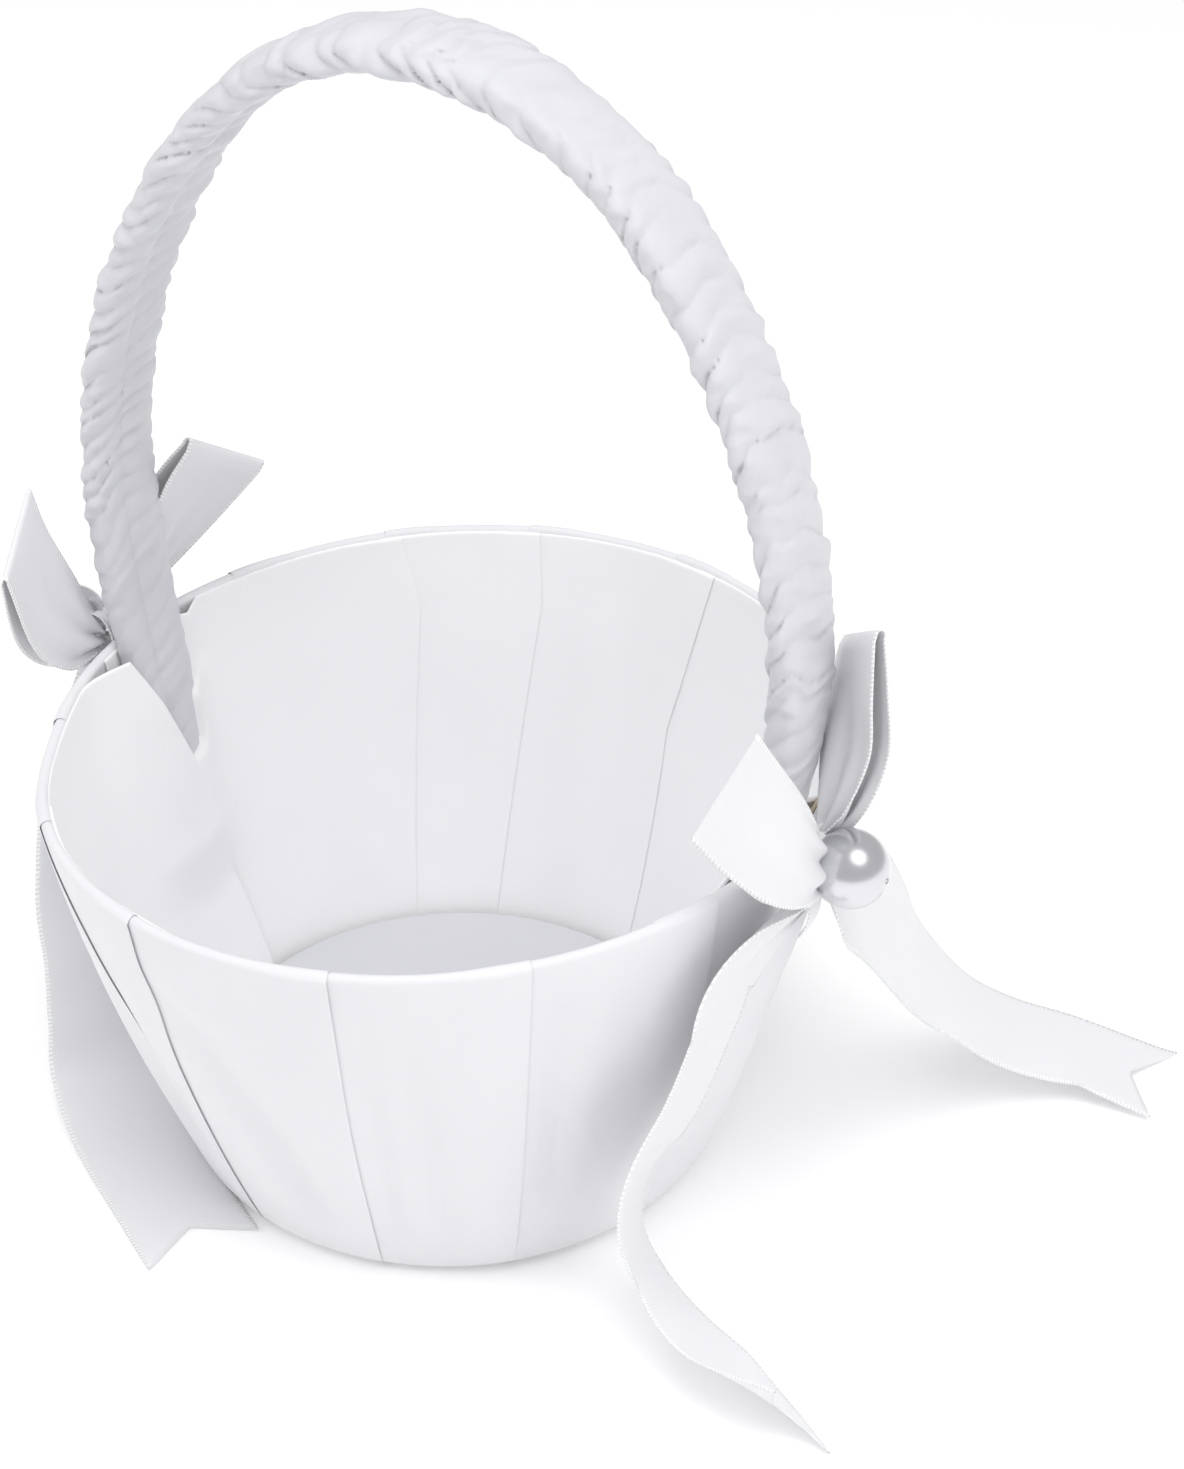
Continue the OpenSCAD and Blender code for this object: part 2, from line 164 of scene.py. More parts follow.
def satinMaterial(name, spec):
    # polyester satin: long floats on the face give a soft broad gloss and hide the weave almost fully
    material, tree = emptyMaterial(name)
    place = addNode(tree, "ShaderNodeUVMap", uv_map="cloth").outputs["UV"]
    solid = addNode(tree, "ShaderNodeTexCoord").outputs["Object"]
    tone = addNode(tree, "ShaderNodeTexNoise", {"Vector": solid, "Scale": spec["toneScale"], "Detail": 3.0})
    colour = addNode(tree, "ShaderNodeMix", {0: tone.outputs["Fac"], 6: linearColour(spec["light"]),
                                             7: linearColour(spec["shade"])}, data_type="RGBA")
    # threads are 0.1 mm apart in the real cloth, too fine to show, so the lines are drawn wider
    wavePitch = bandPitch / (spec["threadMm"] * mm)
    warp = addNode(tree, "ShaderNodeTexWave", {"Vector": place, "Scale": wavePitch, "Distortion": 0.6},
                   wave_type="BANDS", bands_direction="X")
    weft = addNode(tree, "ShaderNodeTexWave", {"Vector": place, "Scale": wavePitch * 0.45, "Distortion": 1.5},
                   wave_type="BANDS", bands_direction="Y")
    weave = addNode(tree, "ShaderNodeMath", {0: warp.outputs["Fac"], 1: weft.outputs["Fac"]},
                    operation="MULTIPLY")
    slub = addNode(tree, "ShaderNodeTexNoise", {"Vector": solid, "Scale": spec["slubScale"], "Detail": 4.0})
    roughness = addNode(tree, "ShaderNodeMapRange", {"Value": slub.outputs["Fac"], "From Min": 0.3,
                                                     "From Max": 0.7, "To Min": spec["rough"][0],
                                                     "To Max": spec["rough"][1]})
    puckers = addNode(tree, "ShaderNodeBump", {"Height": tone.outputs["Fac"], "Strength": 0.5,
                                               "Distance": spec["puckerMm"] * mm})
    slubs = addNode(tree, "ShaderNodeBump", {"Height": slub.outputs["Fac"], "Strength": 0.5,
                                             "Distance": 0.04 * mm, "Normal": puckers.outputs["Normal"]})
    threads = addNode(tree, "ShaderNodeBump", {"Height": weave.outputs["Value"], "Strength": 0.6,
                                               "Distance": spec["threadDeepMm"] * mm,
                                               "Normal": slubs.outputs["Normal"]})
    normal = threads.outputs["Normal"]
    colourOut = colour.outputs[2]
    if "selvedgeMm" in spec:
        # woven edge: a dense band with tiny thread loops along both sides of the ribbon; the loops are
        # painted pure white, a painted highlight along the edge
        across = addNode(tree, "ShaderNodeSeparateXYZ", {"Vector": place})
        centred = addNode(tree, "ShaderNodeMath", {0: across.outputs["X"], 1: ribbon["width"] * mm / 2},
                          operation="SUBTRACT")
        side = addNode(tree, "ShaderNodeMath", {0: centred.outputs["Value"]}, operation="ABSOLUTE")
        edgeStart = (ribbon["width"] / 2 - spec["selvedgeMm"]) * mm
        edge = addNode(tree, "ShaderNodeMapRange", {"Value": side.outputs["Value"], "From Min": edgeStart,
                                                    "From Max": edgeStart + 0.2 * mm})
        loopPitch = bandPitch / (spec["picotMm"] * mm)
        loops = addNode(tree, "ShaderNodeTexWave", {"Vector": place, "Scale": loopPitch, "Distortion": 0.4},
                        wave_type="BANDS", bands_direction="Y")
        picot = addNode(tree, "ShaderNodeMath", {0: edge.outputs["Result"], 1: loops.outputs["Fac"]},
                        operation="MULTIPLY")
        edgeBump = addNode(tree, "ShaderNodeBump", {"Height": picot.outputs["Value"], "Strength": 0.9,
                                                    "Distance": 0.16 * mm, "Normal": normal})
        normal = edgeBump.outputs["Normal"]
        # the loops take the white edge colour: a painted highlight over the real loop pattern
        edgeHighlightColour = addNode(tree, "ShaderNodeMix", {0: picot.outputs["Value"], 6: colourOut,
                                                     7: linearColour(spec["edge"])}, data_type="RGBA")
        colourOut = edgeHighlightColour.outputs[2]
    shader = addNode(tree, "ShaderNodeBsdfPrincipled", {"Base Color": colourOut, "Normal": normal,
                                                        "Roughness": roughness.outputs["Result"],
                                                        "IOR": 1.5, "Specular IOR Level": spec["gloss"],
                                                        "Sheen Weight": spec["sheen"],
                                                        "Sheen Roughness": 0.35})
    addNode(tree, "ShaderNodeOutputMaterial", {"Surface": shader.outputs["BSDF"]})
    return material


ribbon = {"width": 25.0, "thickness": 0.35, "notch": 8.0}
satinSpec = {"light": "E2E2E5", "shade": "DCDCE0", "toneScale": 38.0, "slubScale": 420.0, "threadMm": 0.55,
             "threadDeepMm": 0.012, "puckerMm": 0.5, "rough": (0.38, 0.5), "gloss": 0.4, "sheen": 0.12}
coverSatin = satinMaterial("polyester_satin_cover", satinSpec)
# the lining is the cover's satin painted lighter: painted light for the inside of the basket, where the walls
# shade it
liningSatinPaintedLight = satinMaterial("polyester_satin_lining_painted_light", {**satinSpec, "light": "F8F8F9", "shade": "F4F4F6",
                                                       "puckerMm": 0.35, "gloss": 0.3})
# the floor disc is the cover's satin painted darker: painted shade for the bottom of the basket under its
# walls
floorSatinPaintedShade = satinMaterial("polyester_satin_floor_painted_shade", {**satinSpec, "light": "CBCBD0", "shade": "C5C5CB",
                                                     "puckerMm": 0.25})
# the handle sleeve is the cover's satin painted darker all over: painted shade for the strap, on top of its
# real puckers
handleSatinPaintedShade = satinMaterial("gathered_satin_sleeve_painted_shade", {**satinSpec, "puckerMm": 0.6, "light": "CECED3",
                                                      "shade": "C5C5CB", "toneScale": 90.0})
# the ribbon's edge colour is white, a painted highlight along both woven edges
ribbonSatin = satinMaterial("satin_ribbon_woven_edge", {**satinSpec, "selvedgeMm": 1.0, "picotMm": 0.9,
                                                        "edge": "FFFFFF", "puckerMm": 0.2,
                                                        "light": "E4E4E7", "shade": "E0E0E3"})


def cardMaterial():
    # grey board: pressed paper fibre, quite dull, with darker flecks
    material, tree = emptyMaterial("grey_board_pressed")
    place = addNode(tree, "ShaderNodeTexCoord").outputs["Object"]
    fibre = addNode(tree, "ShaderNodeTexNoise", {"Vector": place, "Scale": 900.0, "Detail": 5.0})
    fleck = addNode(tree, "ShaderNodeTexVoronoi", {"Vector": place, "Scale": 650.0})
    mask = addNode(tree, "ShaderNodeMapRange", {"Value": fleck.outputs["Distance"], "From Min": 0.05,
                                                "From Max": 0.16, "To Min": 1.0, "To Max": 0.0})
    base = addNode(tree, "ShaderNodeMix", {0: fibre.outputs["Fac"], 6: linearColour("B9AA8E"),
                                           7: linearColour("A09178")}, data_type="RGBA")
    colour = addNode(tree, "ShaderNodeMix", {0: mask.outputs["Result"], 6: base.outputs[2],
                                             7: linearColour("7D705A")}, data_type="RGBA")
    roughness = addNode(tree, "ShaderNodeMapRange", {"Value": fibre.outputs["Fac"], "To Min": 0.75,
                                                     "To Max": 0.95})
    bump = addNode(tree, "ShaderNodeBump", {"Height": fibre.outputs["Fac"], "Strength": 0.6,
                                            "Distance": 0.08 * mm})
    shader = addNode(tree, "ShaderNodeBsdfPrincipled", {"Base Color": colour.outputs[2], "IOR": 1.5,
                                                        "Roughness": roughness.outputs["Result"],
                                                        "Normal": bump.outputs["Normal"]})
    addNode(tree, "ShaderNodeOutputMaterial", {"Surface": shader.outputs["BSDF"]})
    return material


def feltMaterial(name, light, dark, fuzz):
    # needled polyester: matted short fibres, no shine, soft pale rim from the sheen
    material, tree = emptyMaterial(name)
    place = addNode(tree, "ShaderNodeTexCoord").outputs["Object"]
    fibre = addNode(tree, "ShaderNodeTexNoise", {"Vector": place, "Scale": 1500.0, "Detail": 6.0,
                                                 "Distortion": 1.2})
    clump = addNode(tree, "ShaderNodeTexNoise", {"Vector": place, "Scale": 130.0, "Detail": 3.0})
    mixed = addNode(tree, "ShaderNodeMath", {0: fibre.outputs["Fac"], 1: clump.outputs["Fac"]},
                    operation="MULTIPLY")
    colour = addNode(tree, "ShaderNodeMix", {0: mixed.outputs["Value"], 6: linearColour(dark),
                                             7: linearColour(light)}, data_type="RGBA")
    roughness = addNode(tree, "ShaderNodeMapRange", {"Value": clump.outputs["Fac"], "To Min": 0.85,
                                                     "To Max": 1.0})
    bump = addNode(tree, "ShaderNodeBump", {"Height": mixed.outputs["Value"], "Strength": 0.8,
                                            "Distance": fuzz * mm})
    shader = addNode(tree, "ShaderNodeBsdfPrincipled", {"Base Color": colour.outputs[2], "IOR": 1.5,
                                                        "Roughness": roughness.outputs["Result"],
                                                        "Normal": bump.outputs["Normal"],
                                                        "Sheen Weight": 0.3})
    addNode(tree, "ShaderNodeOutputMaterial", {"Surface": shader.outputs["BSDF"]})
    return material


def pearlMaterial():
    # lacquered glass pearl: a milky body under a bright coat, so it mirrors the room in a soft silver
    material, tree = emptyMaterial("lacquered_glass_pearl")
    place = addNode(tree, "ShaderNodeTexCoord").outputs["Object"]
    nacre = addNode(tree, "ShaderNodeTexNoise", {"Vector": place, "Scale": 160.0, "Detail": 2.0})
    orange = addNode(tree, "ShaderNodeTexNoise", {"Vector": place, "Scale": 1400.0, "Detail": 1.0})
    colour = addNode(tree, "ShaderNodeMix", {0: nacre.outputs["Fac"], 6: linearColour("D6D6DA"),
                                             7: linearColour("C9C9CE")}, data_type="RGBA")
    roughness = addNode(tree, "ShaderNodeMapRange", {"Value": nacre.outputs["Fac"], "To Min": 0.2,
                                                     "To Max": 0.28})
    bump = addNode(tree, "ShaderNodeBump", {"Height": orange.outputs["Fac"], "Strength": 0.3,
                                            "Distance": 0.01 * mm})
    shader = addNode(tree, "ShaderNodeBsdfPrincipled", {"Base Color": colour.outputs[2], "IOR": 1.6,
                                                        "Roughness": roughness.outputs["Result"],
                                                        "Metallic": 0.9, "Coat Weight": 0.5,
                                                        "Coat Roughness": 0.12,
                                                        "Normal": bump.outputs["Normal"]})
    addNode(tree, "ShaderNodeOutputMaterial", {"Surface": shader.outputs["BSDF"]})
    return material


def steelMaterial():
    # nickel-plated steel, drawn wire and pressed rivets: fine lines along the draw, small dull marks
    material, tree = emptyMaterial("nickel_plated_steel")
    place = addNode(tree, "ShaderNodeTexCoord").outputs["Object"]
    stretched = addNode(tree, "ShaderNodeMapping", {"Vector": place, "Scale": (60.0, 2400.0, 2400.0)})
    drawn = addNode(tree, "ShaderNodeTexNoise", {"Vector": stretched.outputs["Vector"], "Scale": 1.0,
                                                 "Detail": 3.0})
    colour = addNode(tree, "ShaderNodeMix", {0: drawn.outputs["Fac"], 6: linearColour("C9C8C6"),
                                             7: linearColour("B5B4B1")}, data_type="RGBA")
    roughness = addNode(tree, "ShaderNodeMapRange", {"Value": drawn.outputs["Fac"], "To Min": 0.2,
                                                     "To Max": 0.36})
    bump = addNode(tree, "ShaderNodeBump", {"Height": drawn.outputs["Fac"], "Strength": 0.3,
                                            "Distance": 0.01 * mm})
    shader = addNode(tree, "ShaderNodeBsdfPrincipled", {"Base Color": colour.outputs[2], "Metallic": 1.0,
                                                        "Roughness": roughness.outputs["Result"],
                                                        "Normal": bump.outputs["Normal"]})
    addNode(tree, "ShaderNodeOutputMaterial", {"Surface": shader.outputs["BSDF"]})
    return material


def plasticMaterial():
    # extruded polypropylene strip: waxy, half dull, with faint lines along its length
    material, tree = emptyMaterial("extruded_polypropylene")
    place = addNode(tree, "ShaderNodeTexCoord").outputs["Object"]
    stretched = addNode(tree, "ShaderNodeMapping", {"Vector": place, "Scale": (80.0, 3000.0, 80.0)})
    lines = addNode(tree, "ShaderNodeTexNoise", {"Vector": stretched.outputs["Vector"], "Scale": 1.0})
    colour = addNode(tree, "ShaderNodeMix", {0: lines.outputs["Fac"], 6: linearColour("E4E3DE"),
                                             7: linearColour("D8D7D1")}, data_type="RGBA")
    roughness = addNode(tree, "ShaderNodeMapRange", {"Value": lines.outputs["Fac"], "To Min": 0.38,
                                                     "To Max": 0.52})
    bump = addNode(tree, "ShaderNodeBump", {"Height": lines.outputs["Fac"], "Strength": 0.3,
                                            "Distance": 0.02 * mm})
    shader = addNode(tree, "ShaderNodeBsdfPrincipled", {"Base Color": colour.outputs[2], "IOR": 1.49,
                                                        "Roughness": roughness.outputs["Result"],
                                                        "Normal": bump.outputs["Normal"]})
    addNode(tree, "ShaderNodeOutputMaterial", {"Surface": shader.outputs["BSDF"]})
    return material


greyBoard = cardMaterial()
baseFelt = feltMaterial("needled_felt", "E6E6E3", "CFCFCB", 0.12)
polyWadding = feltMaterial("polyester_wadding", "F2F2F1", "DCDCDA", 0.3)
glassPearl = pearlMaterial()
nickelSteel = steelMaterial()
corePlastic = plasticMaterial()
print("materials made")


# camera

cameraSpec = {"aim": (53.5, -34.2, 133.3), "azimuth": 28.9, "elevation": 34.4, "distance": 560.0,
              "lens": 75.0}
turnAngle = math.radians(cameraSpec["azimuth"])
liftAngle = math.radians(cameraSpec["elevation"])
backward = Vector((math.sin(turnAngle) * math.cos(liftAngle), -math.cos(turnAngle) * math.cos(liftAngle),
                   math.sin(liftAngle)))
cameraData = bpy.data.cameras.new("studio_camera")
cameraData.lens = cameraSpec["lens"]
cameraData.clip_start = 0.01
camera = bpy.data.objects.new("studio_camera", cameraData)
camera.location = (Vector(cameraSpec["aim"]) + backward * cameraSpec["distance"]) * mm
camera.rotation_euler = (-backward).to_track_quat("-Z", "Y").to_euler()
bpy.context.scene.collection.objects.link(camera)
bpy.context.scene.camera = camera


# the body's shape, shared by cover, card and lining

coverLow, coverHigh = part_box("outer_cover")
body = {"height": coverHigh.z / mm, "rim": 82.0, "foot": 58.0, "bulge": 3.2, "corner": 3.5,
        "ovalMean": 0.4, "ovalSwing": 3.4, "ovalTurn": -108.0, "dentAt": -150.0, "dentWide": 16.0,
        "dentDeep": 2.2, "deepest": 3.6}
# soft hollows pressed into the card: angle at the rim, angle at the foot, half width, depth, low, high
body["dips"] = [(-122, -112, 4.0, 2.2, 12, 70), (-104.6, -79.2, 4.5, 3.4, 10, 88),
                (-70.5, -69.7, 2.8, 1.8, 5, 98), (-66.5, -60, 3.2, 2.2, 5, 92),
                (-42, -42, 3.4, 1.9, 20, 98), (-32, -34, 4.5, 0.9, 8, 90), (45, 44, 5.0, 1.1, 8, 90),
                (95, 95, 5.0, 1.0, 8, 90), (145, 142, 5.0, 1.1, 8, 90), (198, 196, 5.0, 1.2, 8, 90)]


def wallDips(angle, z):
    k = np.clip(z / body["height"], 0, 1)
    belly = np.sin(np.pi * np.clip(k, 0.02, 1)) ** 0.7
    depth = 0
    for rimAt, footAt, wide, deep, low, high in body["dips"]:
        away = (angle - footAt - (rimAt - footAt) * k + 180) % 360 - 180
        band = smoothStep(z, low, low + 14) * (1 - smoothStep(z, high - 22, high))
        depth = depth + deep * np.exp(-(away / wide) ** 2) * band
    return np.minimum(depth * belly, body["deepest"])


def wallRadius(angle, z):
    # outer radius of the body: a slightly bowed cone, pushed to an oval towards the rim
    z = np.asarray(z, float)
    k = np.clip(z / body["height"], 0, 1.05)
    radius = body["foot"] + (body["rim"] - body["foot"]) * k + body["bulge"] * 4 * k * (1 - k)
    below = np.clip(body["corner"] - z, 0, body["corner"])
    radius -= body["corner"] - np.sqrt(np.maximum(body["corner"] ** 2 - below ** 2, 0))
    oval = body["ovalMean"] + body["ovalSwing"] * np.cos(np.radians(2 * (angle - body["ovalTurn"])))
    away = (angle - body["dentAt"] + 180) % 360 - 180
    dent = body["dentDeep"] * np.exp(-(away / body["dentWide"]) ** 2)
    return radius + (oval - dent) * k ** 1.3 - wallDips(angle, z)


def clothNoise(angle, z, scale, seed):
    # slow, seeded unevenness of hand-laid cloth, from -1 to 1
    out = np.zeros(angle.shape)
    for i in range(angle.shape[0]):
        for j in range(angle.shape[1]):
            a = math.radians(angle[i, j])
            r = 70 / scale
            out[i, j] = noise.noise(Vector((r * math.cos(a), r * math.sin(a), z[i, j] / scale / 2 + seed)))
    return out


def pleatColumns(count, panelSteps, foldTurn):
    # the sheet's columns in order: a panel, then the small S where it folds back under itself
    columns = []
    for i in range(count):
        for step in range(panelSteps):
            columns.append((i, "panel", step / (panelSteps - 1), 0))
        for back, layer in foldTurn:
            columns.append((i, "fold", back, layer))
    return columns


def layPleats(columns, edgeAngles, zRow, direction, spec, openEnds=None):
    # angle and height above the base layer for each column of one row, at height zRow
    edges = edgeAngles(zRow)
    amounts = spec["amount"](zRow)
    radius = wallRadius(0, zRow)
    toDegrees = 180 / math.pi / radius
    angles = np.zeros(len(columns))
    lifts = np.zeros(len(columns))
    for c, (i, kind, a, b) in enumerate(columns):
        if i == 0:
            before = edges[-1] - 360 * direction if openEnds is None else openEnds(zRow)
        else:
            before = edges[i - 1]
        here = edges[i]
        amount = amounts[i]
        if kind == "panel":
            width = abs(here - before) / toDegrees
            run = spec["start"] + (width - spec["start"] - 0.6) * a
            left = width - run
            angles[c] = before + direction * run * toDegrees
            flat = 1 - smoothStep(left, spec["flatTo"], spec["riseFrom"])
            lifts[c] = spec["layers"] * amount * flat
        else:
            angles[c] = here + direction * a * amount * toDegrees
            lifts[c] = b * spec["layers"] * amount
    return angles, lifts


# (distance back from the fold's edge in mm, share of the full lift)
knifeFold = [(-0.3, 1.0), (-0.06, 0.94), (0.02, 0.8), (-0.06, 0.64), (-0.35, 0.56), (-1.6, 0.52),
             (-3.6, 0.5), (-4.6, 0.46), (-4.9, 0.3), (-4.6, 0.12), (-3.6, 0.04), (-1.6, 0.0), (0.3, 0.0)]


# outer cover

coverSpec = {"edges": [-102.5, -73.7, -47.3, -18.0, 7.0, 32.0, 57.0, 82.0, 107.0, 132.0, 157.0, 182.0, 207.0,
                       231.0],
             "layers": 0.58, "start": 0.8, "flatTo": 5.5, "riseFrom": 17.0, "roll": 1.2, "hem": 9.5,
             "hemHeight": 1.0, "unevenMm": 0.45,
             "footPuff": {"angle": 5, "wide": 13, "proud": 2.0, "low": 46, "high": 74}}


def coverEdges(z):
    edges = np.array(coverSpec["edges"], float)
    edges += 1.4 * np.sin(np.arange(len(edges)) * 2.4 + z / 38)
    # the last fold at the left front slants down towards its neighbour
    edges[-1] = np.interp(z, [30, 41, 51, 63, 79, 97], [256.6, 256.0, 251.5, 248.3, 242.0, 231.5])
    edges[:4] = coverSpec["edges"][:4]
    return edges


def coverAmounts(z):
    amounts = np.ones(len(coverSpec["edges"])) * np.interp(z, [0, 2, 9, 97], [0.12, 0.2, 0.9, 1.0])
    amounts[-1] *= np.interp(z, [36, 50, 66], [0.03, 0.45, 0.8])
    return amounts


def footPuff(angle, z):
    # the cover stands proud over the right foot of the handle
    puff = coverSpec["footPuff"]
    away = (angle - puff["angle"] + 180) % 360 - 180
    return puff["proud"] * np.exp(-(away / puff["wide"]) ** 2) * smoothStep(z, puff["low"], puff["high"])


coverSpec["amount"] = coverAmounts


def makeCover():
    columns = pleatColumns(len(coverSpec["edges"]), 15, knifeFold)
    roll = coverSpec["roll"]
    top = body["height"] - roll
    rows = [("hem", h) for h in (coverSpec["hem"], 5.0, 2.2)]
    rows += [("wall", z) for z in (1.0, 1.25, 1.7, 2.4, 3.4, 4.8, 6.6, 8.8)]
    rows += [("wall", z) for z in np.linspace(11.2, top, 50)]
    rows += [("roll", a) for a in (15, 32, 50, 70, 90, 110, 130, 150, 168, 180)]
    rows += [("inside", d) for d in (0.8, 1.8, 3.2)]
    shape = (len(rows), len(columns))
    angles, lifts, heights = np.zeros(shape), np.zeros(shape), np.zeros(shape)
    for r, (kind, value) in enumerate(rows):
        zRow = {"hem": coverSpec["hemHeight"], "wall": value}.get(kind, top)
        angles[r], lifts[r] = layPleats(columns, coverEdges, zRow, 1, coverSpec)
        heights[r] = zRow
    uneven = clothNoise(angles, heights, 20, 3.1) * coverSpec["unevenMm"]
    uneven *= smoothStep(heights, 2, 14)
    shift = uneven + footPuff(angles, heights)
    shift *= 1 - 0.85 * smoothStep(heights, body["height"] - 14, top) * (1 - np.clip(shift, 0, 2) / 2)
    radii = wallRadius(angles, heights) + lifts + shift
    zs = heights.copy()
    for r, (kind, value) in enumerate(rows):
        if kind == "hem":
            radii[r] -= value
        elif kind == "roll":
            a = math.radians(value)
            out = lifts[r] * (0.5 + 0.5 * math.cos(a))
            radii[r] += -lifts[r] - roll + (roll + out) * math.cos(a)
            zs[r] = top + (roll + lifts[r] * 0.6 * math.sin(a)) * math.sin(a)
        elif kind == "inside":
            radii[r] += -lifts[r] - 2 * roll
            zs[r] = top - value
    turn = np.radians(angles)
    points = np.stack([radii * np.cos(turn), radii * np.sin(turn), zs], axis=-1)
    steps = np.linalg.norm(np.diff(points, axis=1, append=points[:, :1]), axis=-1)
    along = np.concatenate([np.zeros((len(rows), 1)), np.cumsum(steps, axis=1)], axis=1)
    rise = np.concatenate([[0], np.cumsum(np.linalg.norm(np.diff(points[:, 0], axis=0), axis=1))])
    uv = np.stack([along, np.repeat(rise[:, None], along.shape[1], axis=1)], axis=-1) * mm
    piece = gridObject("outer_cover_satin", points, uv, coverSatin, wrapped=True)
    # the cloth was a straight strip, gathered in by its folds towards the foot
    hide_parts("outer_cover")
    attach(piece, "root")
    return piece


outerCover = makeCover()
print("outer cover laid in", len(coverSpec["edges"]), "folds")


# card wall between cover and lining

cardSpec = {"out": -1.1, "thickness": 0.8, "low": 1.9, "top": 1.0}


def makeCardWall():
    steps = 120
    turn = np.linspace(-180, 180, steps, endpoint=False)
    zs = np.linspace(cardSpec["low"], body["height"] - cardSpec["top"], 22)
    outer = [wallRadius(turn, z) + cardSpec["out"] for z in zs]
    inner = [r - cardSpec["thickness"] for r in outer]
    radii = np.array(outer + inner[::-1] + outer[:1])
    heights = np.concatenate([zs, zs[::-1], zs[:1]])
    a = np.radians(turn)
    points = np.stack([radii * np.cos(a), radii * np.sin(a), np.repeat(heights[:, None], steps, 1)], axis=-1)
    uv = np.zeros((len(heights), steps + 1, 2))
    uv[:, :, 0] = np.linspace(0, 0.5, steps + 1)
    uv[:, :, 1] = np.linspace(0, 0.2, len(heights))[:, None]
    piece = gridObject("card_wall", points, uv, greyBoard, wrapped=True)
    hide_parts("shell_wall")
    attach(piece, "root")
    return piece


cardWall = makeCardWall()


# lining

# each fold's angle at heights 97, 79, 57, 6; the panel on its higher-angle side lies on top
liningSpec = {"folds": [(128.5, 125.6, 127.0, 130.0), (105.7, 105.0, 106.8, 111.0), (75.0, 77.0, 79.4, 77.0),
                        (50, 51, 52, 52), (24, 25, 26, 27), (-28, -27, -26, -26), (-54, -53, -52, -52),
                        (-80, -79, -78, -78), (-106, -105, -104, -104), (-132, -131, -130, -130)],
              "offset": -2.6, "layers": 0.38, "start": 0.8, "flatTo": 5.0, "riseFrom": 17.0, "top": 1.1,
              "unevenMm": 0.45, "overlapMm": 1.3, "endSteps": 26}


def liningEdges(z):
    return np.array([np.interp(z, [6, 57, 79, 97], fold[::-1]) for fold in liningSpec["folds"]])


def liningAmounts(z):
    # the folds are pressed flatter where they run under the floor disc
    return np.ones(len(liningSpec["folds"])) * np.interp(z, [4, 10, 97], [0.35, 0.9, 1.0])


def slitLine(z):
    # where the cloth behind the left foot comes round in front of it
    return np.interp(z, [50, 66, 78, 86, 95], [184.0, 179.5, 175.6, 173.4, 171.6])


def liningStart(z):
    # hidden start of the cloth, behind the left foot and under the front panel
    return np.interp(z, [4, 97], [187.0, 190.0])


def liningEnd(z):
    # free edge of the front panel, which crosses the left foot on its way down
    return np.interp(z, [4, 23, 51, 66, 83, 97], [-191.2, -189.7, -185.5, -181.6, -175.9, -171.4])


handleSpec = {"footOut": 2.4, "footIn": 4.3, "halfWide": 10.4,
              "halfThick": 4.3, "sideShift": 1.4}


def footCentre(z):
    # x of the handle's centre line inside the wall
    return np.interp(z, [45, 97, 103], [65.7, 74.8, 75.6])


def footThickness(z):
    # the foot thins out towards its lower end, inside the lining
    return np.interp(z, [50, 58, 84], [1.3, 2.0, handleSpec["footIn"]])


def overFoot(y, z):
    # how far inwards the foot of the handle pushes the lining, in mm
    inner = footCentre(z) - footThickness(z) - 0.9
    away = y - handleSpec["sideShift"] * (z / 97)
    here = 1 - np.where(away < 0, smoothStep(-away, 5, 26), smoothStep(away, 8, 15))
    return inner, here * smoothStep(z, 6, 48)


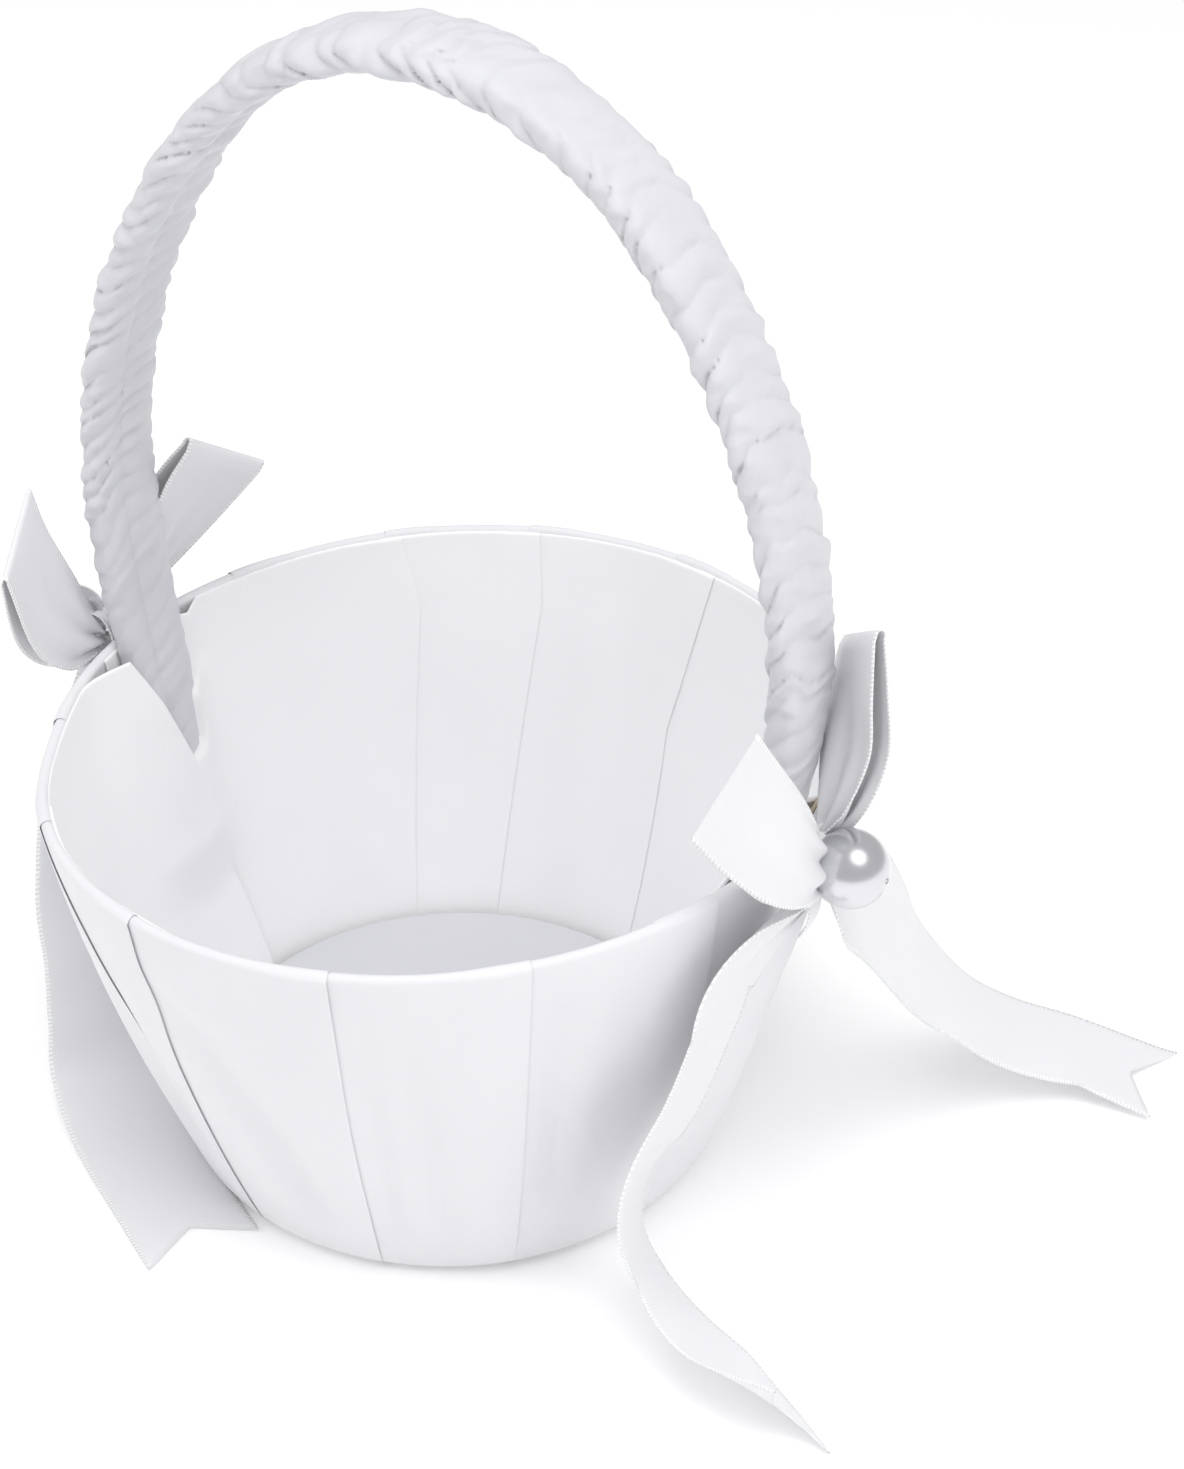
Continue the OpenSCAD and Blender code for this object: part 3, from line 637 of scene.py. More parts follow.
def makeLining():
    spec = {**liningSpec, "amount": liningAmounts}
    columns = pleatColumns(len(liningSpec["folds"]), 14, knifeFold)
    endSteps = liningSpec["endSteps"]
    top = body["height"] - liningSpec["top"]
    lowRows = (4.2, 5.5, 7.2, 9.2)
    rows = [("wall", z) for z in (*lowRows, *np.linspace(11.5, top - 0.5, 46))]
    rows += [("turn", d) for d in (0, 1, 2, 3)]
    shape = (len(rows), len(columns) + endSteps)
    angles, lifts, heights = np.zeros(shape), np.zeros(shape), np.zeros(shape)
    for r, (kind, value) in enumerate(rows):
        zRow = value if kind == "wall" else top
        a, l = layPleats(columns, liningEdges, zRow, -1, spec, openEnds=liningStart)
        edges = liningEdges(zRow)
        finish = liningEnd(zRow)
        share = np.linspace(0.02, 1, endSteps)
        angles[r] = np.concatenate([a, edges[-1] + (finish - edges[-1]) * share])
        lifts[r, :len(columns)] = l
        # the last panel lies over the start of the first one
        lifts[r, len(columns):] = liningSpec["overlapMm"] * smoothStep(-angles[r, len(columns):], 160, 172)
        heights[r] = zRow
    uneven = clothNoise(angles, heights, 22, 8.4) * liningSpec["unevenMm"]
    uneven *= smoothStep(heights, 4, 16) * (1 - smoothStep(heights, top - 14, top) * 0.7)
    radii = wallRadius(angles, heights) + liningSpec["offset"] - lifts + uneven
    turn = np.radians(angles)
    for side in (1, -1):
        x = side * radii * np.cos(turn)
        y = radii * np.sin(turn)
        inner, here = overFoot(y, heights)
        push = np.where(x > 0, np.maximum(x - inner, 0) * here, 0)
        if side < 0:
            # between its start and the slit the cloth lies flat behind the foot
            push *= np.where(angles > 120, smoothStep(slitLine(heights) - angles, -0.4, 0.8), 1)
        radii = radii - push * np.where(np.abs(np.cos(turn)) > 0.5, 1, 0)
    zs = heights.copy()
    turned = {0: (0.0, 0.0), 1: (0.28, 0.32), 2: (0.62, 0.3), 3: (0.75, -0.9)}
    for r, (kind, value) in enumerate(rows):
        if kind == "turn":
            radii[r] += turned[value][0]
            zs[r] = top + turned[value][1]
    points = np.stack([radii * np.cos(turn), radii * np.sin(turn), zs], axis=-1)
    steps = np.linalg.norm(np.diff(points, axis=1), axis=-1)
    along = np.concatenate([np.zeros((len(rows), 1)), np.cumsum(steps, axis=1)], axis=1)
    rise = np.concatenate([[0], np.cumsum(np.linalg.norm(np.diff(points[:, 0], axis=0), axis=1))])
    uv = np.stack([along, np.repeat(rise[:, None], along.shape[1], axis=1)], axis=-1) * mm
    piece = gridObject("inner_lining_satin", points, uv, liningSatinPaintedLight)
    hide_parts("inner_lining")
    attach(piece, "root")
    return piece


innerLining = makeLining()
print("lining laid")


# loose floor disc and base

floorLow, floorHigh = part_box("floor_cover")
floorSpec = {"radius": floorHigh.x / mm + 0.4, "low": floorLow.z / mm, "top": floorHigh.z / mm, "crown": 0.9,
             "round": 1.3}


def makeFloor():
    radius, low, top = floorSpec["radius"], floorSpec["low"], floorSpec["top"]
    profile = []
    for r in np.linspace(0.2, radius - floorSpec["round"], 26):
        profile.append((r, top - 0.4 + floorSpec["crown"] * (1 - (r / radius) ** 3)))
    corner = profile[-1][1] - floorSpec["round"]
    for a in (25, 50, 75, 90):
        profile.append((radius - floorSpec["round"] * (1 - math.sin(math.radians(a))),
                        corner + floorSpec["round"] * math.cos(math.radians(a))))
    profile += [(radius, low + 0.5), (radius - 0.3, low + 0.1), (radius - 0.9, low)]
    piece = discObject("floor_satin", profile, 128, floorSatinPaintedShade)
    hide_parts("floor_cover")
    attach(piece, "root")
    wadLow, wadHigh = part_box("floor_wadding")
    padLow, padTop, padRadius = wadLow.z / mm, wadHigh.z / mm, radius - 1.6
    padProfile = [(r, padTop - 0.2 + 0.7 * (1 - (r / padRadius) ** 3))
                  for r in np.linspace(0.2, padRadius - 0.6, 14)]
    padProfile += [(padRadius, padTop - 0.9), (padRadius, padLow + 0.3), (padRadius - 0.4, padLow),
                   (0.2, padLow)]
    pad = discObject("floor_wadding_pad", padProfile, 72, polyWadding)
    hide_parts("floor_wadding")
    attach(pad, "root")
    return piece


def makeBaseSheet():
    sheetLow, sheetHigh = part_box("base_sheet")
    radius, top = sheetHigh.x / mm, sheetHigh.z / mm
    # needled felt lies a hair uneven
    profile = [(r, max(0.02 * math.sin(r), 0.0)) for r in np.linspace(0.3, radius - 0.5, 30)]
    profile += [(radius - 0.1, 0.12), (radius, 0.35), (radius - 0.1, top - 0.1), (radius - 0.6, top)]
    piece = discObject("base_felt_sheet", profile, 112, baseFelt)
    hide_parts("base_sheet")
    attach(piece, "root")
    return piece


makeFloor()
makeBaseSheet()
print("floor disc and base made")


# handle

# half of the arch, (x, z) in mm, from the foot inside the wall up to the top
handlePath = [(66.2, 50), (70.8, 75), (74.8, 97), (77.2, 113), (78.8, 132), (77.6, 149), (75.2, 162),
              (71, 177), (65.8, 190), (57, 206), (45.5, 221.5), (32, 233), (16, 240.3), (0, 242.6)]
handleSpec.update({"creaseMin": 3.6, "creaseMax": 8.2, "slant": 0.3, "twist": 1.15, "puff": 1.7,
                   "edgePuff": 0.5, "rippleMm": 0.34, "wobbleMm": 3.4, "seed": 27, "fullest": 0.55,
                   "seamDeep": 1.1, "seamWide": 1.1, "padThick": 5.4, "padWide": 16.8, "padFrom": 99,
                   "flatWidth": 0.056, "flatLength": 0.52})


def archLine():
    right = [(x, 0, z) for x, z in handlePath]
    left = [(-x, 0, z) for x, z in handlePath[-2::-1]]
    return smoothPath(right + left, 640)


def archOutward(path):
    # which way is out of the arch at each point of it
    along = unitRows(np.gradient(path, axis=0))
    return np.stack([along[:, 2], np.zeros(len(path)), -along[:, 0]], axis=1)


def sectionPoint(path, outward, turn, thickOut, thickIn, wide):
    # points of a flat oval round the path; turn 0 faces outwards
    c, s = np.cos(turn)[None, :], np.sin(turn)[None, :]
    thick = np.where(c >= 0, thickOut[:, None], thickIn[:, None])
    flat = np.sign(c) * np.abs(c) ** 0.75 * thick
    side = np.sign(s) * np.abs(s) ** 0.85 * wide[:, None]
    shift = handleSpec["sideShift"] * smoothStep(path[:, 2], 60, 130)
    points = path[:, None, :] + outward[:, None, :] * flat[:, :, None]
    points[:, :, 1] += side + shift[:, None]
    return points


def makeSleeve():
    path, even = archLine()
    outward = archOutward(path)
    z = path[:, 2]
    # the strap is thinnest where it runs down inside the wall
    inWall = 1 - smoothStep(z, 84, 112)
    thickOut = handleSpec["halfThick"] + (handleSpec["footOut"] - handleSpec["halfThick"]) * inWall
    thickOut = np.minimum(thickOut, np.interp(z, [50, 60, 84, 112], [1.3, 2.0, 2.4, 4.3]))
    thickIn = handleSpec["halfThick"] + (footThickness(z) - handleSpec["halfThick"]) * inWall
    wide = handleSpec["halfWide"] - 1.2 * (1 - smoothStep(z, 80, 135))
    steps = 74
    # the cloth meets in a seam on the inner side, one edge tucked under the other
    seam = math.pi + 0.24
    turn = np.linspace(seam - 2 * math.pi - 0.1, seam + 0.1, steps)
    tuck = 0.5 * (1 - smoothStep(turn, turn[0], turn[0] + 0.5))
    points = sectionPoint(path, outward, turn, thickOut, thickIn, wide)
    centre = path[:, None, :] + np.array([0, 1, 0]) * (handleSpec["sideShift"]
                                                       * smoothStep(z, 60, 130))[:, None, None]
    away = unitRows(points - centre)
    # gathers: puffs between sharp valleys, unevenly spaced along the strap and a little slanted
    random.seed(handleSpec["seed"])
    creases = [-12.0]
    while creases[-1] < even[-1] + 12:
        creases.append(creases[-1] + random.uniform(handleSpec["creaseMin"], handleSpec["creaseMax"]))
    creases = np.array(creases)
    strength = np.array([random.uniform(0.45, 1.0) for _ in creases])
    lean = np.array([random.uniform(0.3, 0.7) for _ in creases])
    y = points[:, :, 1]
    wobble = np.zeros(y.shape)
    ripple = np.zeros(y.shape)
    for i in range(y.shape[0]):
        for j in range(steps):
            c, s = math.cos(turn[j]), math.sin(turn[j])
            wobble[i, j] = noise.noise(Vector((even[i] / 16, c * 1.1, s * 1.1 + 5)))
            ripple[i, j] = noise.noise(Vector((even[i] / 2.6 + s * 1.5, c * 0.9, s * 1.2 + 11)))
    outwards = np.sum((points - centre) * outward[:, None, :], axis=-1)
    q = even[:, None] + handleSpec["slant"] * y - handleSpec["twist"] * outwards
    q += handleSpec["wobbleMm"] * wobble
    cell = np.clip(np.searchsorted(creases, q) - 1, 0, len(creases) - 2)
    u = (q - creases[cell]) / (creases[cell + 1] - creases[cell])
    bend = np.log(0.5) / np.log(lean[cell])
    # each gather swells from one sharp valley to the next, and fades where the cloth lies slack
    slack = 0.55 + 0.45 * smoothStep(ripple * 0.5 + wobble, -0.45, 0.3)
    puff = np.sin(np.pi * np.clip(u, 0, 1) ** bend) ** 0.5 * strength[cell] * slack
    sideways = np.abs(np.sin(turn))[None, :] ** 3
    calm = 0.35 + 0.65 * smoothStep(z, 92, 150)[:, None]
    lift = (puff - handleSpec["fullest"]) * (handleSpec["puff"] + handleSpec["edgePuff"] * sideways) * calm
    lift += ripple * handleSpec["rippleMm"] * calm
    # long seam on the inner side, pulled in by its stitches
    fromSeam = np.minimum(turn - turn[0], turn[-1] - turn)[None, :] * handleSpec["halfThick"]
    lift -= handleSpec["seamDeep"] * np.exp(-(fromSeam / handleSpec["seamWide"]) ** 2) + tuck[None, :]
    points = points + away * lift[:, :, None]
    uv = np.zeros((len(path), steps, 2))
    uv[:, :, 0] = np.linspace(0, handleSpec["flatWidth"], steps)[None, :]
    uv[:, :, 1] = (even * mm)[:, None]
    piece = gridObject("handle_sleeve_satin", points, uv, handleSatinPaintedShade)
    # a strip cut 56 mm wide, pushed up into gathers along a 0.52 m arch
    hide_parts("handle_sleeve")
    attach(piece, "root")
    return piece


def makeHandleWadding():
    path, even = archLine()
    keep = path[:, 2] > handleSpec["padFrom"]
    path, even = path[keep], even[keep]
    outward = archOutward(path)
    turn = np.linspace(0, 2 * math.pi, 28, endpoint=False)
    full = np.ones(len(path))
    thick, wide = full * handleSpec["padThick"] / 2, full * handleSpec["padWide"] / 2
    points = sectionPoint(path, outward, turn, thick, thick, wide)
    uv = np.zeros((len(path), len(turn) + 1, 2))
    uv[:, :, 0] = np.linspace(0, 0.04, len(turn) + 1)[None, :]
    uv[:, :, 1] = (even * mm)[:, None]
    piece = gridObject("handle_wadding_strip", points, uv, polyWadding, wrapped=True)
    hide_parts("handle_wadding")
    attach(piece, "root")
    return piece


handleSleeve = makeSleeve()
makeHandleWadding()
print("handle sleeve gathered")


# rivets through the feet

rivetSpec = {"heights": (62, 78), "shank": 1.5, "head": 3.0, "headThick": 0.5}


def makeRivets():
    steps = 24
    turn = np.linspace(0, 2 * math.pi, steps, endpoint=False)
    vertices, faces = [], []
    for side in (1, -1):
        for z in rivetSpec["heights"]:
            wall = float(wallRadius(0.0 if side > 0 else 180.0, z)) + cardSpec["out"] + 0.15
            inner = float(footCentre(z)) - 1.4
            head, shank, thick = rivetSpec["head"], rivetSpec["shank"], rivetSpec["headThick"]
            profile = [(inner, 0.01), (inner, head * 0.7), (inner + 0.2, head), (inner + thick, head),
                       (inner + thick, shank), (wall - thick, shank), (wall - thick, head),
                       (wall - 0.2, head), (wall, head * 0.7), (wall, 0.01)]
            start = len(vertices)
            for x, r in profile:
                for a in turn:
                    vertices.append((side * x * mm, r * math.cos(a) * mm, (z + r * math.sin(a)) * mm))
            for i in range(len(profile) - 1):
                for j in range(steps):
                    k = (j + 1) % steps
                    faces.append((start + i * steps + j, start + i * steps + k,
                                  start + (i + 1) * steps + k, start + (i + 1) * steps + j))
    mesh = bpy.data.meshes.new("foot_rivets_steel")
    mesh.from_pydata(vertices, [], faces)
    mesh.materials.append(nickelSteel)
    piece = bpy.data.objects.new("foot_rivets_steel", mesh)
    bpy.context.scene.collection.objects.link(piece)
    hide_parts("foot_rivets")
    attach(piece, "root")


makeRivets()


# bows

bowSpec = {"pinchDeep": 2.2, "foldDeep": 3.2}


def curveThrough(points, shares):
    # a rounded line through a few 3D points, sampled at the given shares of its length
    path, even = smoothPath(points, 120)
    return np.stack([np.interp(shares, even / even[-1], path[:, k]) for k in range(3)], axis=1)


def makeLoop(name, node, upperEdge, lowerEdge, fullness, seed, turnRadius=0.5):
    # one ribbon, out from the knot, over a crease and back; upperEdge and lowerEdge run from knot to crease
    half = 34
    across = 25
    shares = np.linspace(0, 1, half) ** 0.9
    upper = curveThrough(upperEdge, shares)
    lower = curveThrough(lowerEdge, shares)
    t = np.linspace(0, 1, across)
    middle = lower[:, None, :] * (1 - t)[None, :, None] + upper[:, None, :] * t[None, :, None]
    du = np.gradient(middle, axis=0)
    dt = np.gradient(middle, axis=1)
    normal = unitRows(np.cross(du, dt))
    gap = fullness * np.sin(np.pi * shares ** 0.75) ** 0.8 + turnRadius * shares
    gap = gap[:, None] * (1 - 0.35 * (2 * t - 1)[None, :] ** 2)
    fade = (1 - shares) ** 2.4
    wave = np.cos(math.pi * (5 * t + seed))[None, :] * fade[:, None] * bowSpec["pinchDeep"]
    long = np.cos(math.pi * (2.0 * t + seed * 0.7))[None, :] * ((1 - shares) ** 1.1 * shares)[:, None]
    long *= bowSpec["foldDeep"]
    front = middle + normal * (gap + wave * 0.8 + long + 0.6)[:, :, None]
    back = middle - normal * (gap + wave * 0.6 - long * 0.5 + 0.6 * (1 - shares)[:, None])[:, :, None]
    tip = middle[-1]
    outDir = unitRows(middle[-1] - middle[-3])
    turnRows = []
    for a in (50, 90, 130):
        r = math.radians(a)
        reach = outDir * turnRadius * math.sin(r) * 1.2
        turnRows.append(tip + reach + normal[-1] * turnRadius * math.cos(r))
    front[-1] = tip + normal[-1] * turnRadius
    back[-1] = tip - normal[-1] * turnRadius
    points = np.concatenate([front, np.array(turnRows), back[::-1]], axis=0)
    step = np.linalg.norm(np.diff(points[:, across // 2], axis=0), axis=1)
    rise = np.concatenate([[0], np.cumsum(step)])
    uv = np.zeros((len(points), across, 2))
    uv[:, :, 0] = t[None, :] * ribbon["width"] * mm
    uv[:, :, 1] = (rise * mm)[:, None]
    piece = gridObject(name, points, uv, ribbonSatin)
    thicken(piece, ribbon["thickness"])
    # the ribbon is full width, pressed into gathers at the knot
    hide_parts(node)
    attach(piece, "root")
    return piece


makeLoop("right_front_loop_ribbon", "right_front_loop",
         [(86, -2, 99), (86.3, -9, 110), (85.5, -17, 123), (83, -25, 137)],
         [(86, -4, 93), (88.5, -13, 93.5), (87, -25, 100), (81, -31, 108), (75, -35, 117)],
         1.9, 0.3)
makeLoop("right_back_loop_ribbon", "right_back_loop",
         [(84.5, 4, 98), (81.6, 9, 106), (80.6, 15, 119), (80.6, 18, 133)],
         [(86.5, 2, 98), (92, 2, 107), (95.6, 3, 120), (95.4, 2, 134), (94.6, 1, 148)],
         1.5, 0.1, turnRadius=0.9)
makeLoop("left_front_loop_ribbon", "left_front_loop",
         [(-85, -2, 97), (-88, -6, 110), (-91, -10, 123), (-92, -12, 133)],
         [(-85.5, -4, 92), (-86, -14, 92), (-85.5, -25, 103), (-84, -32, 124)],
         1.4, 0.2)
makeLoop("left_back_loop_ribbon", "left_back_loop",
         [(-84, 3, 98), (-82, 7, 112), (-77, 11, 127), (-71, 15, 137)],
         [(-85.5, 6, 95), (-86, 17, 99), (-79, 28, 109), (-67, 35, 123)],
         2.2, 0.4, turnRadius=0.9)
print("bow loops made")


# ribbon tails

knotLow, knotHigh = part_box("right_knot")
knotX = knotLow.x / mm
knotTop = 89.2
tailFloor = 0.5


def makeTail(name, node, way, widthDirs, mirror, curl, seed):
    # way: out from the knot's back, sideways, share of the height; widthDirs: across the ribbon
    stations = []
    for (out, sideways, share), w in zip(way, widthDirs):
        w = np.array(w, float)
        w = w / np.linalg.norm(w)
        stations.append([knotX + out, sideways, tailFloor + share * (knotTop - tailFloor), *w])
    path, even = smoothPath(stations, 90)
    centre, width = path[:, :3], path[:, 3:]
    run = unitRows(np.gradient(centre, axis=0))
    width = unitRows(width - run * np.sum(width * run, axis=1, keepdims=True))
    normal = np.cross(run, width)
    across = 17
    t = np.linspace(-1, 1, across)
    full = 0.3 + 0.7 * smoothStep(even, 0, 17)
    halfWidth = ribbon["width"] / 2 * full
    fold = (1 - smoothStep(even, 0, 26)) * 1.7
    onFloor = smoothStep(centre[:, 2], 1.0, 14)
    bow = curl * onFloor[:, None] * (t[None, :] ** 2 - 0.4)
    gather = fold[:, None] * np.cos(math.pi * (2.2 * t + seed))[None, :]
    lift = bow + gather
    # swallow-tail end: the middle stops short of the two points
    length = even[-1]
    points = np.zeros((len(path), across, 3))
    runs = np.zeros((len(path), across))
    for j, side in enumerate(t):
        end = length - ribbon["notch"] * (1 - abs(side))
        stretch = even * (1 + (end / length - 1) * smoothStep(even, length - 45, length))
        base = np.stack([np.interp(stretch, even, centre[:, k]) for k in range(3)], axis=1)
        halfAcross = width * halfWidth[:, None]
        wide = np.stack([np.interp(stretch, even, halfAcross[:, k]) for k in range(3)], axis=1)
        up = np.stack([np.interp(stretch, even, (normal * lift[:, j:j + 1])[:, k]) for k in range(3)], axis=1)
        points[:, j] = base + wide * side + up
        runs[:, j] = stretch
    if mirror:
        points[:, :, 0] *= -1
    points[:, :, 2] = np.maximum(points[:, :, 2], tailFloor * 0.6)
    uv = np.zeros((len(path), across, 2))
    uv[:, :, 0] = ((t + 1) / 2 * ribbon["width"] * mm)[None, :]
    uv[:, :, 1] = runs * mm
    piece = gridObject(name, points, uv, ribbonSatin)
    thicken(piece, ribbon["thickness"])
    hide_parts(node)
    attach(piece, "root")
    return piece


makeTail("right_front_tail_ribbon", "right_front_tail",
         [(2.4, -4.2, 1), (-4, -22.8, 0.88), (-6.3, -27.3, 0.755), (-9, -34, 0.6), (-12, -40.5, 0.49),
          (-14.5, -43, 0.385), (-14.7, -43.8, 0.288), (-13.3, -44.5, 0.213), (-9, -46, 0.156),
          (-1, -49, 0.11), (8, -52, 0.09), (17, -56, 0.09), (32, -62.5, 0.118)],
         [(0, 18, 0), (-1, 19, -16), (-2, 19, -16), (-2, 20, -15), (-1, 23, -9), (-4, 25, -3), (-8, 23, -3),
          (-9, 21, -9), (-4, 20, -14), (1, 20, -15), (6, 19, -15), (8, 16, -18), (7, 10, -22)],
         False, 0.5, 0.2)
makeTail("right_back_tail_ribbon", "right_back_tail",
         [(2.4, 4.2, 1), (6, 20, 0.8), (8, 31, 0.62), (9, 41, 0.46), (13, 51, 0.31), (18, 59, 0.19),
          (26, 67, 0.1), (35, 73, 0.05), (45, 75, 0.02), (55, 76, 0)],
         [(0, 18, 0), (-4, 23, 6), (-7, 22, 8), (-10, 21, 8), (-13, 20, 6), (-14, 20, 4), (-14, 21, 2),
          (-12, 22, 0), (-12, 22, 0), (-12, 22, 0)], False, -1.0, 0.6)
makeTail("left_front_tail_ribbon", "left_front_tail",
         [(2.4, -4.2, 1), (3, -10, 0.77), (-2, -22, 0.5), (-7, -27, 0.34), (-11, -32, 0.2), (-16, -38, 0.08),
          (-29, -48, 0.01), (-48, -60, 0), (-64, -70, 0)],
         [(0, 18, 0), (0, 22, 8), (0, 22, 11), (-3, 23, 9), (-5, 23, 7), (-8, 23, 3), (-10, 21, 0),
          (-10, 21, 0), (-10, 21, 0)], True, 0.8, 0.4)
makeTail("left_back_tail_ribbon", "left_back_tail",
         [(2.4, 4.2, 1), (3, 12, 0.8), (0, 22, 0.6), (-6, 31, 0.4), (-14, 40, 0.2), (-20, 48, 0.06),
          (-22, 59, 0), (-20, 72, 0)],
         [(0, 18, 0), (0, 23, -6), (-5, 23, -7), (-10, 21, -7), (-15, 18, -5), (-19, 15, -2), (-22, 9, 0),
          (-23, 4, 0)], True, -0.8, 0.8)
print("tails hung")


# knots and pearls

knotSpec = {"halfY": 5.2, "halfZ": 6.2, "middleZ": 95.0, "outFace": 88.0, "creases": 4,
            "creaseDeep": 0.35, "waist": 0.22, "endHalf": 2.6, "endLong": 10.0, "endTop": 90.5}
pearlSpec = {"radius": 7.9, "x": 92.5, "y": -2.0, "z": 95.7, "drill": 0.85}


def makeKnot(name, node, mirror):
    # a short length of ribbon wound over the pinch, creased along its run, with its end hanging below
    inner = float(wallRadius(180.0 if mirror else 0.0, 95.0)) + 0.4
    if not mirror:
        inner += 1.6
    midX, halfX = (inner + knotSpec["outFace"]) / 2, (knotSpec["outFace"] - inner) / 2
    turn = np.linspace(0, 2 * math.pi, 60, endpoint=False)
    across = np.linspace(-1, 1, 23)
    c, s = np.cos(turn), np.sin(turn)
    x = np.sign(c) * np.abs(c) ** 0.8 * halfX
    z = np.sign(s) * np.abs(s) ** 0.8 * knotSpec["halfZ"]
    waist = 1 - knotSpec["waist"] * (1 - across ** 2)
    ridge = knotSpec["creaseDeep"] * np.cos(math.pi * knotSpec["creases"] * across)
    points = np.zeros((len(across), len(turn), 3))
    for i, t in enumerate(across):
        grow = waist[i] + ridge[i] / knotSpec["halfZ"]
        points[i, :, 0] = midX + x * grow
        points[i, :, 1] = t * knotSpec["halfY"] + 0.4 * np.sin(turn * 2)
        points[i, :, 2] = knotSpec["middleZ"] + z * grow
    if mirror:
        points[:, :, 0] *= -1
    uv = np.zeros((len(across), len(turn) + 1, 2))
    uv[:, :, 0] = ((across + 1) / 2 * ribbon["width"] * mm)[:, None]
    uv[:, :, 1] = np.linspace(0, 0.034, len(turn) + 1)[None, :]
    band = gridObject(name, points, uv, ribbonSatin, wrapped=True)
    thicken(band, ribbon["thickness"])
    # the loose end below, a narrow tongue with a rounded tip
    rows, columns = 18, 9
    tongue = np.zeros((rows, columns, 3))
    for i, a in enumerate(np.linspace(0, 1, rows)):
        half = knotSpec["endHalf"] * math.sqrt(max(1 - max((a - 0.72) / 0.28, 0) ** 2, 0.02))
        for j, t in enumerate(np.linspace(-1, 1, columns)):
            bend = 1.6 * math.sin(math.pi * min(a, 1) * 0.9)
            tongue[i, j] = (86.0 - 1.5 * a + 0.35 * t * t + bend, -4.6 - 3.2 * a + half * t,
                            knotSpec["endTop"] - knotSpec["endLong"] * a)
    if mirror:
        tongue[:, :, 0] *= -1
    tongueUv = np.zeros((rows, columns, 2))
    tongueUv[:, :, 0] = (np.linspace(0, 1, columns) * ribbon["width"] * mm)[None, :]
    tongueUv[:, :, 1] = np.linspace(0, 0.01, rows)[:, None]
    end = gridObject(name + "_end", tongue, tongueUv, ribbonSatin)
    thicken(end, ribbon["thickness"])
    for piece in (band, end):
        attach(piece, "root")
    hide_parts(node)


def makePearl(name, node, mirror):
    # a round bead with the mouths of its drilled hole, turned about the pin
    radius, drill = pearlSpec["radius"], pearlSpec["drill"]
    start = math.asin(drill / radius)
    profile = [(radius * math.cos(start) - 0.5, drill * 0.8), (radius * math.cos(start) - 0.08, drill)]
    angles = np.linspace(start * 1.12, math.pi - start * 1.12, 61)
    profile += [(radius * math.cos(a), radius * math.sin(a)) for a in angles]
    profile += [(-profile[1][0], profile[1][1]), (-profile[0][0], profile[0][1])]
    steps = 96
    turn = np.linspace(0, 2 * math.pi, steps, endpoint=False)
    points = np.zeros((len(profile), steps, 3))
    sign = -1 if mirror else 1
    for i, (along, r) in enumerate(profile):
        points[i, :, 0] = sign * (pearlSpec["x"] + along)
        points[i, :, 1] = pearlSpec["y"] + r * np.cos(turn) * sign
        points[i, :, 2] = pearlSpec["z"] + r * np.sin(turn)
    uv = np.zeros((len(profile), steps + 1, 2))
    uv[:, :, 0] = np.linspace(0, 0.05, steps + 1)[None, :]
    uv[:, :, 1] = np.linspace(0, 0.025, len(profile))[:, None]
    piece = gridObject(name, points, uv, glassPearl, wrapped=True)
    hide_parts(node)
    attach(piece, "root")


for sideName, isLeft in (("right", False), ("left", True)):
    makeKnot(sideName + "_knot_ribbon", sideName + "_knot", isLeft)
    makePearl(sideName + "_pearl_bead", sideName + "_pearl", isLeft)
print("knots and pearls made")


# CAD pieces that keep their shape

keptPieces = {"base_board": greyBoard, "floor_card": greyBoard, "handle_core": corePlastic,
              "pearl_pins": nickelSteel}
for nodeName, material in keptPieces.items():
    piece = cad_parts[nodeName]
    if not piece.material_slots:
        piece.data.materials.append(material)
    for slot in piece.material_slots:
        slot.material = material


# floor and light

def paperMaterial():
    # matt seamless paper: white, almost no shine, the faintest tooth
    material, tree = emptyMaterial("seamless_paper")
    place = addNode(tree, "ShaderNodeTexCoord").outputs["Object"]
    tooth = addNode(tree, "ShaderNodeTexNoise", {"Vector": place, "Scale": 300.0, "Detail": 3.0})
    colour = addNode(tree, "ShaderNodeMix", {0: tooth.outputs["Fac"], 6: linearColour("FBFBFB"),
                                             7: linearColour("F8F8F8")}, data_type="RGBA")
    shader = addNode(tree, "ShaderNodeBsdfPrincipled", {"Base Color": colour.outputs[2], "Roughness": 0.95,
                                                        "Specular IOR Level": 0.1,
                                                        "Emission Color": (1, 1, 1, 1),
                                                        "Emission Strength": 0.12})
    addNode(tree, "ShaderNodeOutputMaterial", {"Surface": shader.outputs["BSDF"]})
    return material


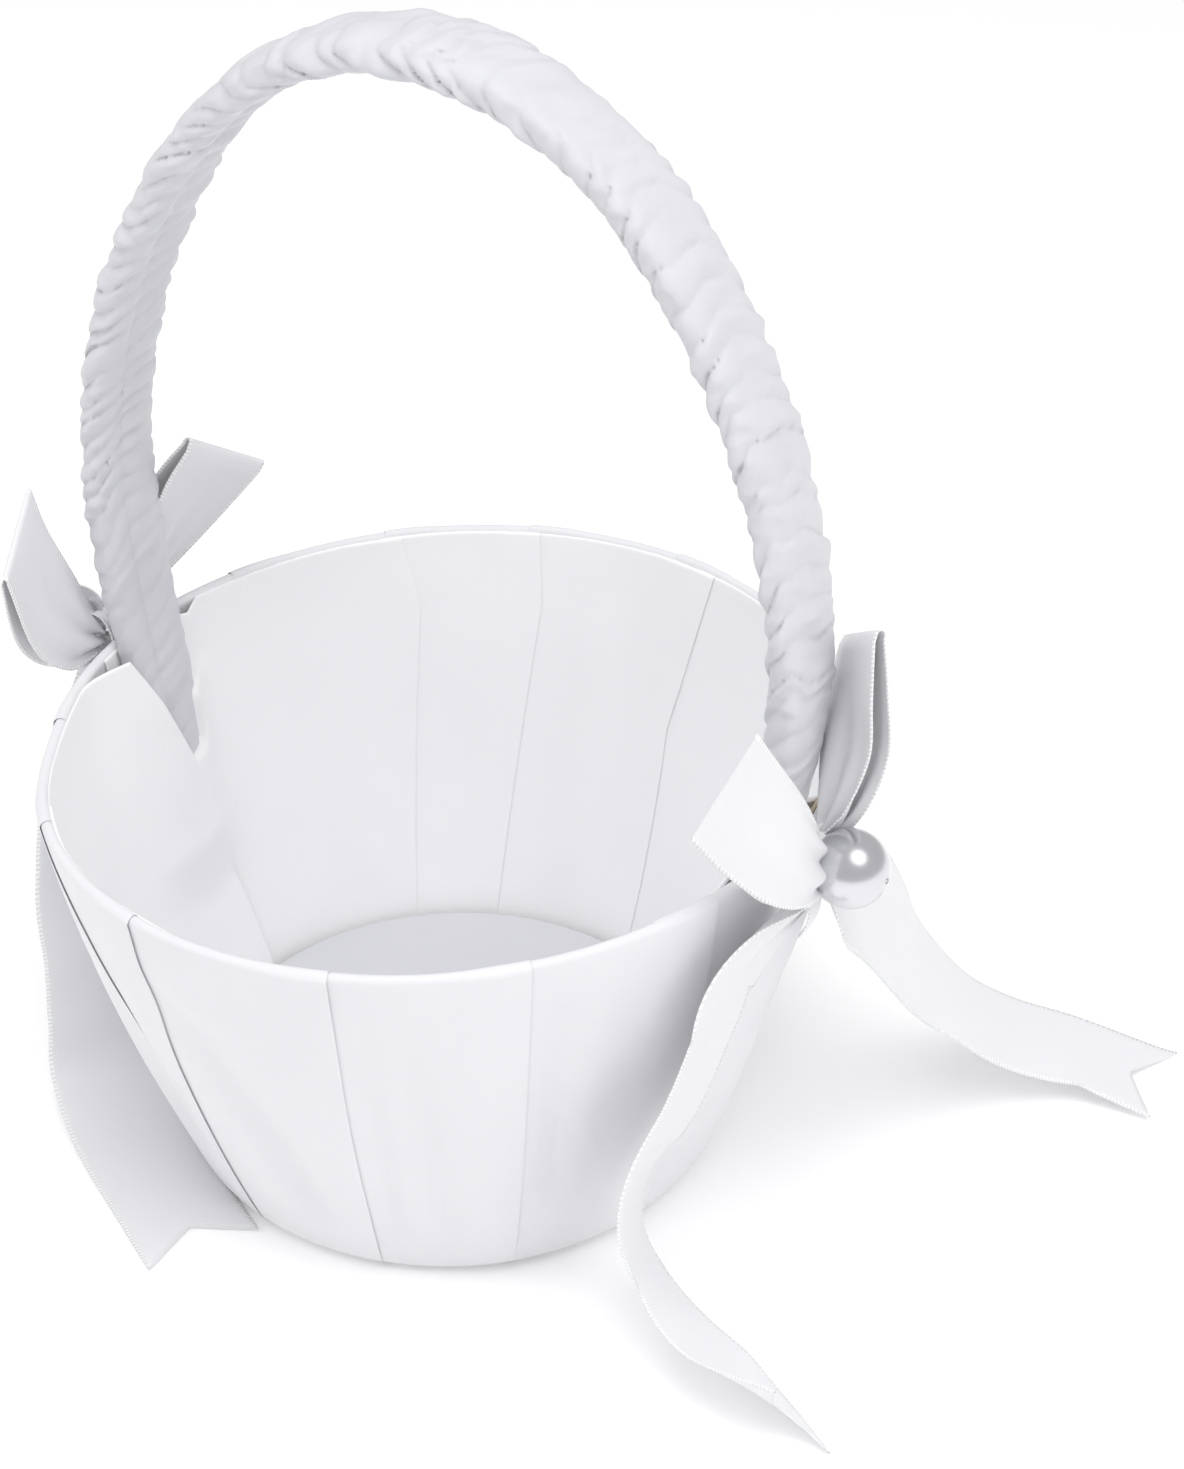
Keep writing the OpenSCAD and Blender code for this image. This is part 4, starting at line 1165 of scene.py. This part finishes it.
floorMesh = bpy.data.meshes.new("studio_floor")
reach = 6.0
floorMesh.from_pydata([(-reach, -reach, 0), (reach, -reach, 0), (reach, reach, 0), (-reach, reach, 0)], [],
                      [(0, 1, 2, 3)])
floorMesh.materials.append(paperMaterial())
studioFloor = bpy.data.objects.new("studio_floor", floorMesh)
studioFloor.location.z = min(cadLow.z, 0) - 0.0002
bpy.context.scene.collection.objects.link(studioFloor)

world = bpy.data.worlds.new("studio_room")
bpy.context.scene.world = world
world.use_nodes = True
world.node_tree.nodes.clear()
lookUp = addNode(world.node_tree, "ShaderNodeTexCoord").outputs["Generated"]
upShare = addNode(world.node_tree, "ShaderNodeSeparateXYZ", {"Vector": lookUp}).outputs["Z"]
ramp = addNode(world.node_tree, "ShaderNodeValToRGB", {"Fac": upShare})
ramp.color_ramp.elements[0].position = 0.14
ramp.color_ramp.elements[0].color = (0.5, 0.5, 0.5, 1)
ramp.color_ramp.elements[1].position = 0.42
ramp.color_ramp.elements[1].color = (0.5, 0.5, 0.51, 1)
glow = addNode(world.node_tree, "ShaderNodeBackground", {"Color": ramp.outputs["Color"], "Strength": 1.0})
addNode(world.node_tree, "ShaderNodeOutputWorld", {"Surface": glow.outputs["Background"]})


def softbox(name, place, size, power, seenInGloss):
    light = bpy.data.lights.new(name, "AREA")
    light.shape = "DISK"
    light.size = size
    light.energy = power
    lamp = bpy.data.objects.new(name, light)
    lamp.location = place
    middle = Vector((0, 0, 0.08))
    lamp.rotation_euler = (middle - Vector(place)).to_track_quat("-Z", "Y").to_euler()
    lamp.visible_glossy = seenInGloss
    bpy.context.scene.collection.objects.link(lamp)


# name, place and size in metres, watts, and whether the pearl may mirror it
softboxes = [("top_softbox", (0.05, -0.25, 1.6), 1.1, 12.0, False),
             ("left_softbox", (-1.1, -0.9, 0.8), 0.6, 3.6, False),
             ("front_softbox", (0.35, -1.0, 1.15), 0.9, 0.9, False),
             ("right_fill", (1.3, -0.2, 0.6), 1.0, 3.4, False),
             ("small_key", (0.53, -0.15, 0.98), 0.8, 2.4, True)]
for lampSettings in softboxes:
    softbox(*lampSettings)
bpy.context.scene.view_settings.view_transform = "Standard"
bpy.context.scene.view_settings.gamma = 1.2

print("scene ready")
